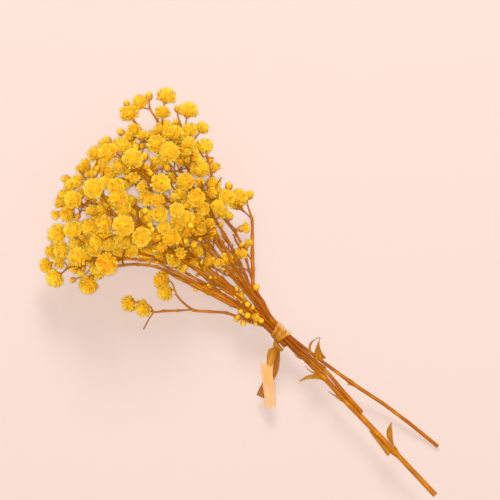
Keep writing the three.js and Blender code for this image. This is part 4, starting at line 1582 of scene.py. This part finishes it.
for spray in ("right_top", "near_centre"):
    bm = new_stems()
    for seed, (owner, route, width, shape) in enumerate(LEAVES):
        if owner == spray:
            add_leaf(bm, route, width, shape, seed)
    finish_piece("leaves_" + spray, bm, [leaf_finish], "spray_" + spray)

# %% [markdown]
# ## Raffia
#
# Raffia is a strip peeled from a palm leaf: thin, ribbed lengthwise, and torn along the ribs at its ends.
# Two turns of it hold the stalks, a knot sits at their side, and stretches of it stand out there: a loop
# with its fold, an end that runs out darkest, and a wide pale end. It could be simulated as cloth, but a dry
# strip this short keeps its shape, so each turn or stretch is a grid bent into place.

# %% Ribs and rims of a strip
RAFFIA = {"wall": 0.28, "clearance": 0.15, "ragged": 0.16, "belly": 0.125, "lumps": 0.18, "waves": 0.1}
RIBS = {"height": 0.09, "scale": 2.2, "seed_step": 7}
STRIP_ACROSS = 12


def new_strips():
    bm = bmesh.new()
    bm.verts.layers.float_vector.new("fibre")
    return bm


def close_strip(bm, verts):
    """Gives a strip its thickness."""
    faces = faces_of(verts)
    bmesh.ops.recalc_face_normals(bm, faces=faces)
    bmesh.ops.solidify(bm, geom=faces, thickness=RAFFIA["wall"] * MM)


def rib_height(across, seed):
    """The height of a strip's lengthwise ribs, some millimetres across from its middle."""
    return RIBS["height"] * noise.noise(Vector((across * RIBS["scale"], seed * RIBS["seed_step"], 0)))


print("ribs across a strip:", [round(rib_height(across / 2, 1), 3) for across in range(-3, 4)])

# %% [markdown]
# A turn is bent round the stalks, and it leans a little, as a winding does that goes on to the next turn.
# The attribute `fibre` runs across the strip and along it, with the strip's own number between, so that no
# two strips are streaked alike.

# %% Turns
TURNS = [
    {"at": -1.3, "lean": -0.27, "width": 4.1, "lift": 0},
    {"at": 0.9, "lean": 0.22, "width": 1.6, "lift": 0.25},
]
TURN_STEPS = 72
WAVES_ROUND = {"lumps": 2, "across": 1.5, "ragged": 3}
SEAM = 0.001


def noise_round(turn, scale, offset):
    """Noise that comes back to its start after a full turn."""
    return noise.noise(Vector((math.cos(turn) * scale, math.sin(turn) * scale, offset)))


def add_turn(bm, at, lean, width, lift):
    """A turn of the strip round the stalks."""
    fibre = bm.verts.layers.float_vector["fibre"]
    distance = SLOT_RINGS[2] + STALK_RADIUS + RAFFIA["clearance"] + RAFFIA["wall"] / 2 + lift
    verts = bmesh.ops.create_grid(bm, x_segments=STRIP_ACROSS, y_segments=TURN_STEPS, size=1)["verts"]
    for vert in verts:
        across, turn = vert.co.x, vert.co.y * math.pi
        far = distance + rib_height(across * width / 2, at) + RAFFIA["belly"] * (1 - across**2)
        far += RAFFIA["lumps"] * noise_round(turn, WAVES_ROUND["lumps"], across * WAVES_ROUND["across"] + at)
        y, z = far * math.cos(turn), far * math.sin(turn)
        rim = 1 + RAFFIA["ragged"] * noise_round(turn, WAVES_ROUND["ragged"], at)
        vert.co = in_metres(Vector((at + lean * y + across * rim * width / 2, y, TIE_HEIGHT + z)))
        vert[fibre] = (across * width / 2, at, distance * turn)
    bmesh.ops.remove_doubles(bm, verts=verts, dist=SEAM * MM)
    close_strip(bm, [vert for vert in verts if vert.is_valid])


turns = new_strips()
for turn in TURNS:
    add_turn(turns, **turn)
print("faces of the turns:", len(turns.faces))

# %% [markdown]
# A loose stretch is laid along its points, as (x, y, z, width), with the way that its upper face looks at
# each of them. The knot is a short bundle of the strip instead, so its points are (x, y, z, radius).

# %% Plan of the loose raffia
KNOT = [(0.2, -3.7, 9.3, 0.6), (1.6, -4.1, 8.9, 1.1), (3.1, -4, 8.8, 0.95), (4.3, -3.3, 9, 0.5)]
LOOP = {
    "points": [(2, -5.2, 7.5, 2), (2.2, -6.5, 7.3, 3.8), (3.5, -8.7, 7.2, 3.3), (4.9, -11, 7.3, 1.9)],
    "faces": [(-0.3, -0.5, 0.8), (-0.3, -0.3, 0.9), (-0.2, -0.2, 1), (0, 0, 1)],
}
LOOP_FOLD = {
    "points": [(4.3, -9.8, 6.6, 2.4), (5.9, -12.3, 7, 3), (8, -14.4, 7.1, 3), (9.7, -15.9, 6.9, 1.8)],
    "faces": [(0, 0, 1)] * 4,
}
DARK_END = {
    "points": [
        (3.2, -5, 7.2, 1.6), (5.2, -7.6, 6.4, 2.6), (7.5, -11, 5.7, 3), (8.4, -13.6, 5.4, 3),
        (9.5, -18, 5.2, 3), (10.8, -21.6, 5, 3),
    ],
    "faces": [(0.3, -0.4, 0.8), (0.2, -0.2, 0.9)] + [(0, 0, 1)] * 4,
}
PALE_END = {
    "points": [
        (3.6, -11.2, 6.2, 3.9), (5.2, -12.9, 6.5, 4), (8.7, -15.4, 6.6, 4.1), (11, -17.3, 6.1, 4),
        (16.3, -21.7, 5.6, 3.7),
    ],
    "faces": [(0, 0, 1)] * 5,
}
print("points of the dark end:", len(DARK_END["points"]))

# %% Stations
STATION_STEP = 0.5


def smooth_stations(points, faces):
    """Stations close together along a stretch: place, heading, face and width."""
    places = [Vector(point[:3]) for point in points]
    headings = headings_at(places)
    stations = []
    for i in range(len(places) - 1):
        start, end = places[i], places[i + 1]
        third = (end - start).length / 3
        count = max(3, round((end - start).length / STATION_STEP) + 1)
        arc = geometry.interpolate_bezier(
            start, start + headings[i] * third, end - headings[i + 1] * third, end, count
        )
        for k, place in enumerate(arc):
            if i and k == 0:
                stations.pop()
            share = k / (count - 1)
            face = Vector(faces[i]).lerp(Vector(faces[i + 1]), share)
            width = points[i][3] + (points[i + 1][3] - points[i][3]) * share
            stations.append((place, headings[i].lerp(headings[i + 1], share).normalized(), face, width))
    return stations


print("stations of the dark end:", len(smooth_stations(**DARK_END)))

# %% Loose stretches
RAGGED_WAVES = 0.25


def loose_strip(seed, points, faces):
    """A loose stretch of the strip."""
    bm = new_strips()
    fibre = bm.verts.layers.float_vector["fibre"]
    stations = smooth_stations(points, faces)
    rows = len(stations) - 1
    verts = bmesh.ops.create_grid(bm, x_segments=STRIP_ACROSS, y_segments=rows, size=1)["verts"]
    for vert in verts:
        across, row = vert.co.x, round((vert.co.y + 1) / 2 * rows)
        place, heading, face, width = stations[row]
        side = heading.cross(face).normalized()
        over = side.cross(heading)
        ragged = RAFFIA["ragged"] * noise.noise(Vector((row * RAGGED_WAVES, across, seed)))
        place = place + side * (across + ragged / 2) * width / 2
        place += over * (rib_height(across * width / 2, seed) + RAFFIA["waves"] * noise.noise(place / 2))
        vert.co = in_metres(place)
        vert.co.z = max(vert.co.z, RAFFIA["wall"] * MM)
        vert[fibre] = (across * width / 2, seed, row * STATION_STEP)
    close_strip(bm, verts)
    return bm


test = loose_strip(0, **LOOP)
print("faces of the loop:", len(test.faces))
test.free()

# %% [markdown]
# The knot is drawn out like a twig and then folded lengthwise, because a strip pulled tight crumples into
# folds.

# %% Knot
KNOT_SIDES = 14
KNOT_FOLDS = {"count": 3, "depth": 0.16, "wind": 0.5}
KNOT_FIBRE = {"step": 0.4, "seed": 3}

knot = new_strips()
stations = smooth_stations(KNOT, [(0, -1, 0.4)] * len(KNOT))
frames = ring_frames([place for place, *_ in stations], [radius for *_, radius in stations])
rings, _ = draw_out(knot, [to_metres @ frame for frame in frames], KNOT_SIDES)
for i, ring in enumerate(rings):
    middle = in_metres(stations[i][0])
    for k, vert in enumerate(ring):
        fibre = knot.verts.layers.float_vector["fibre"]
        vert[fibre] = (k * KNOT_FIBRE["step"], KNOT_FIBRE["seed"], i * STATION_STEP)
        fold = math.cos(k * math.tau / KNOT_SIDES * KNOT_FOLDS["count"] + i * KNOT_FOLDS["wind"])
        vert.co += (vert.co - middle) * KNOT_FOLDS["depth"] * fold
print("rings of the knot:", len(rings))

# %% [markdown]
# One dyed strip has many tones, from dark brown where it is thick to pale pink where it is bleached. So each
# stretch gets a finish of its own, with ribs and finer hairs streaked along the fibres. The turns get a
# painted highlight on the side of the bunch that lies further along Y, towards the key light, so their finish
# turns paler there.

# %% Raffia finishes
HIGHLIGHT_SPAN = (6.3 * MM, 7.8 * MM)
HIGHLIGHT_SHARE = 0.85


def painted_highlight_along_y(tree, colour, highlight):
    """A painted highlight: a colour that turns to a paler one across a span of Y."""
    y = add_node(tree, "SeparateXYZ", {"Vector": object_place(tree)}).outputs["Y"]
    span = {"From Min": HIGHLIGHT_SPAN[0], "From Max": HIGHLIGHT_SPAN[1]}
    share = add_node(tree, "MapRange", {"Value": y, **span}).outputs["Result"]
    return mix(tree, times(tree, share, HIGHLIGHT_SHARE), colour, highlight)


def raffia_finish(name, dark, middle, light, highlight=None):
    """Raffia in one of its tones, streaked along its fibres, with a painted highlight when one is given."""
    finish, tree, shader = new_finish(name, {"Roughness": 0.55, "Specular IOR Level": 0.2})
    fibres, _, _, _ = vector_of(tree, "fibre")
    rib = noise_at(tree, fibres, 1, (3.2, 1, 0.08), 3)
    hair = noise_at(tree, fibres, 1, (14, 1, 0.3), 2)
    tone = ramp(tree, rib, [(0.3, dark), (0.5, middle), (0.7, light)])
    colour = mix(tree, times(tree, hair, 0.35), tone, dark)
    if highlight:
        colour = painted_highlight_along_y(tree, colour, highlight)
    dress(tree, shader, colour, hair, 0.5, 0.1)
    return finish


ochre_raffia = raffia_finish("ochre_raffia", "#8e5000", "#b06e08", "#dca22e")
# The turns get a painted highlight, #f0c080, on their side further along Y.
band_raffia = raffia_finish("band_raffia", "#8a4c00", "#aa6806", "#d09420", "#f0c080")
dark_raffia = raffia_finish("dark_raffia", "#743c00", "#985600", "#b87410")
light_raffia = raffia_finish("light_raffia", "#c4883c", "#dca45a", "#ecb87c")
pale_raffia = raffia_finish("pale_raffia", "#d08a48", "#e8a87a", "#f4bc94")
print("span of the fade, mm:", [round(value / MM, 1) for value in HIGHLIGHT_SPAN])

# %% Raffia pieces
finish_piece("raffia_turns", turns, [band_raffia], "raffia_band")
finish_piece("raffia_knot", knot, [ochre_raffia], "raffia_band")
for name, strip, finish, seed in (
    ("raffia_loop", LOOP, ochre_raffia, 1),
    ("raffia_loop_fold", LOOP_FOLD, light_raffia, 4),
    ("raffia_dark_end", DARK_END, dark_raffia, 2),
    ("raffia_pale_end", PALE_END, pale_raffia, 3),
):
    finish_piece(name, loose_strip(seed, **strip), [finish], "raffia_tails")

# %% [markdown]
# ## Surface and light
#
# The bunch lies on a plain pale surface, a little pink. It could be cloth with a weave, but the bunch should
# be all there is to look at. The surface is no part of the bunch, so it only stages it.

# %% Surface
SURFACE = {"radius": 4.0, "segments": 96, "colour": (0.62, 0.508, 0.468, 1)}

surface_finish, _, _ = new_finish(
    "pale_surface", {"Base Color": SURFACE["colour"], "Roughness": 0.9, "Specular IOR Level": 0.1}
)
bm = bmesh.new()
bmesh.ops.create_circle(bm, cap_ends=True, segments=SURFACE["segments"], radius=SURFACE["radius"])
surface = bpy.data.objects.new("surface", finished_mesh("surface", bm))
surface.data.materials.append(surface_finish)
scene.collection.objects.link(surface)
print("surface across, m:", 2 * SURFACE["radius"])

# %% [markdown]
# Most of the light comes from a strong light straight above, close to the line of sight, so the florets are
# bright and their shadows lie mostly under them. It is small, so the shadows have a clear edge. A weaker and
# cooler light shines down the frame from above its upper edge, and draws short shadows below the bunch. A
# pale warm world fills all shadows, as light does that walls throw back.

# %% Lights
LIGHTS = {
    "key_light": {
        "size": 0.35,
        "distance": 1.0,
        "elevation": 40,
        "power": 5.0,
        "colour": (0.96, 0.96, 1),
    },
    "overhead_light": {
        "size": 0.2,
        "distance": 3.4,
        "elevation": 90,
        "power": 113,
        "colour": (1, 0.965, 0.92),
    },
}
LIGHT_AZIMUTH = math.radians(135)

for name, plan in LIGHTS.items():
    elevation = math.radians(plan["elevation"])
    way = Vector((math.cos(elevation), 0, math.sin(elevation)))
    way.rotate(Matrix.Rotation(LIGHT_AZIMUTH, 3, "Z"))
    light_data = bpy.data.lights.new(name, "AREA")
    light_data.shape = "SQUARE"
    light_data.size = plan["size"]
    light_data.energy = plan["power"]
    light_data.color = plan["colour"]
    light = bpy.data.objects.new(name, light_data)
    light.location = CAMERA_AIM + way * plan["distance"]
    light.rotation_euler = way.to_track_quat("Z", "Y").to_euler()
    light.visible_camera = False
    scene.collection.objects.link(light)
    print(name, "at", [round(value, 2) for value in light.location])

# %% World
world = bpy.data.worlds.new("pale_room")
world.use_nodes = True
background = world.node_tree.nodes["Background"]
background.inputs["Color"].default_value = (1, 0.9, 0.78, 1)
background.inputs["Strength"].default_value = 0.3
scene.world = world
scene.view_settings.view_transform = "Standard"
print("world:", world.name)
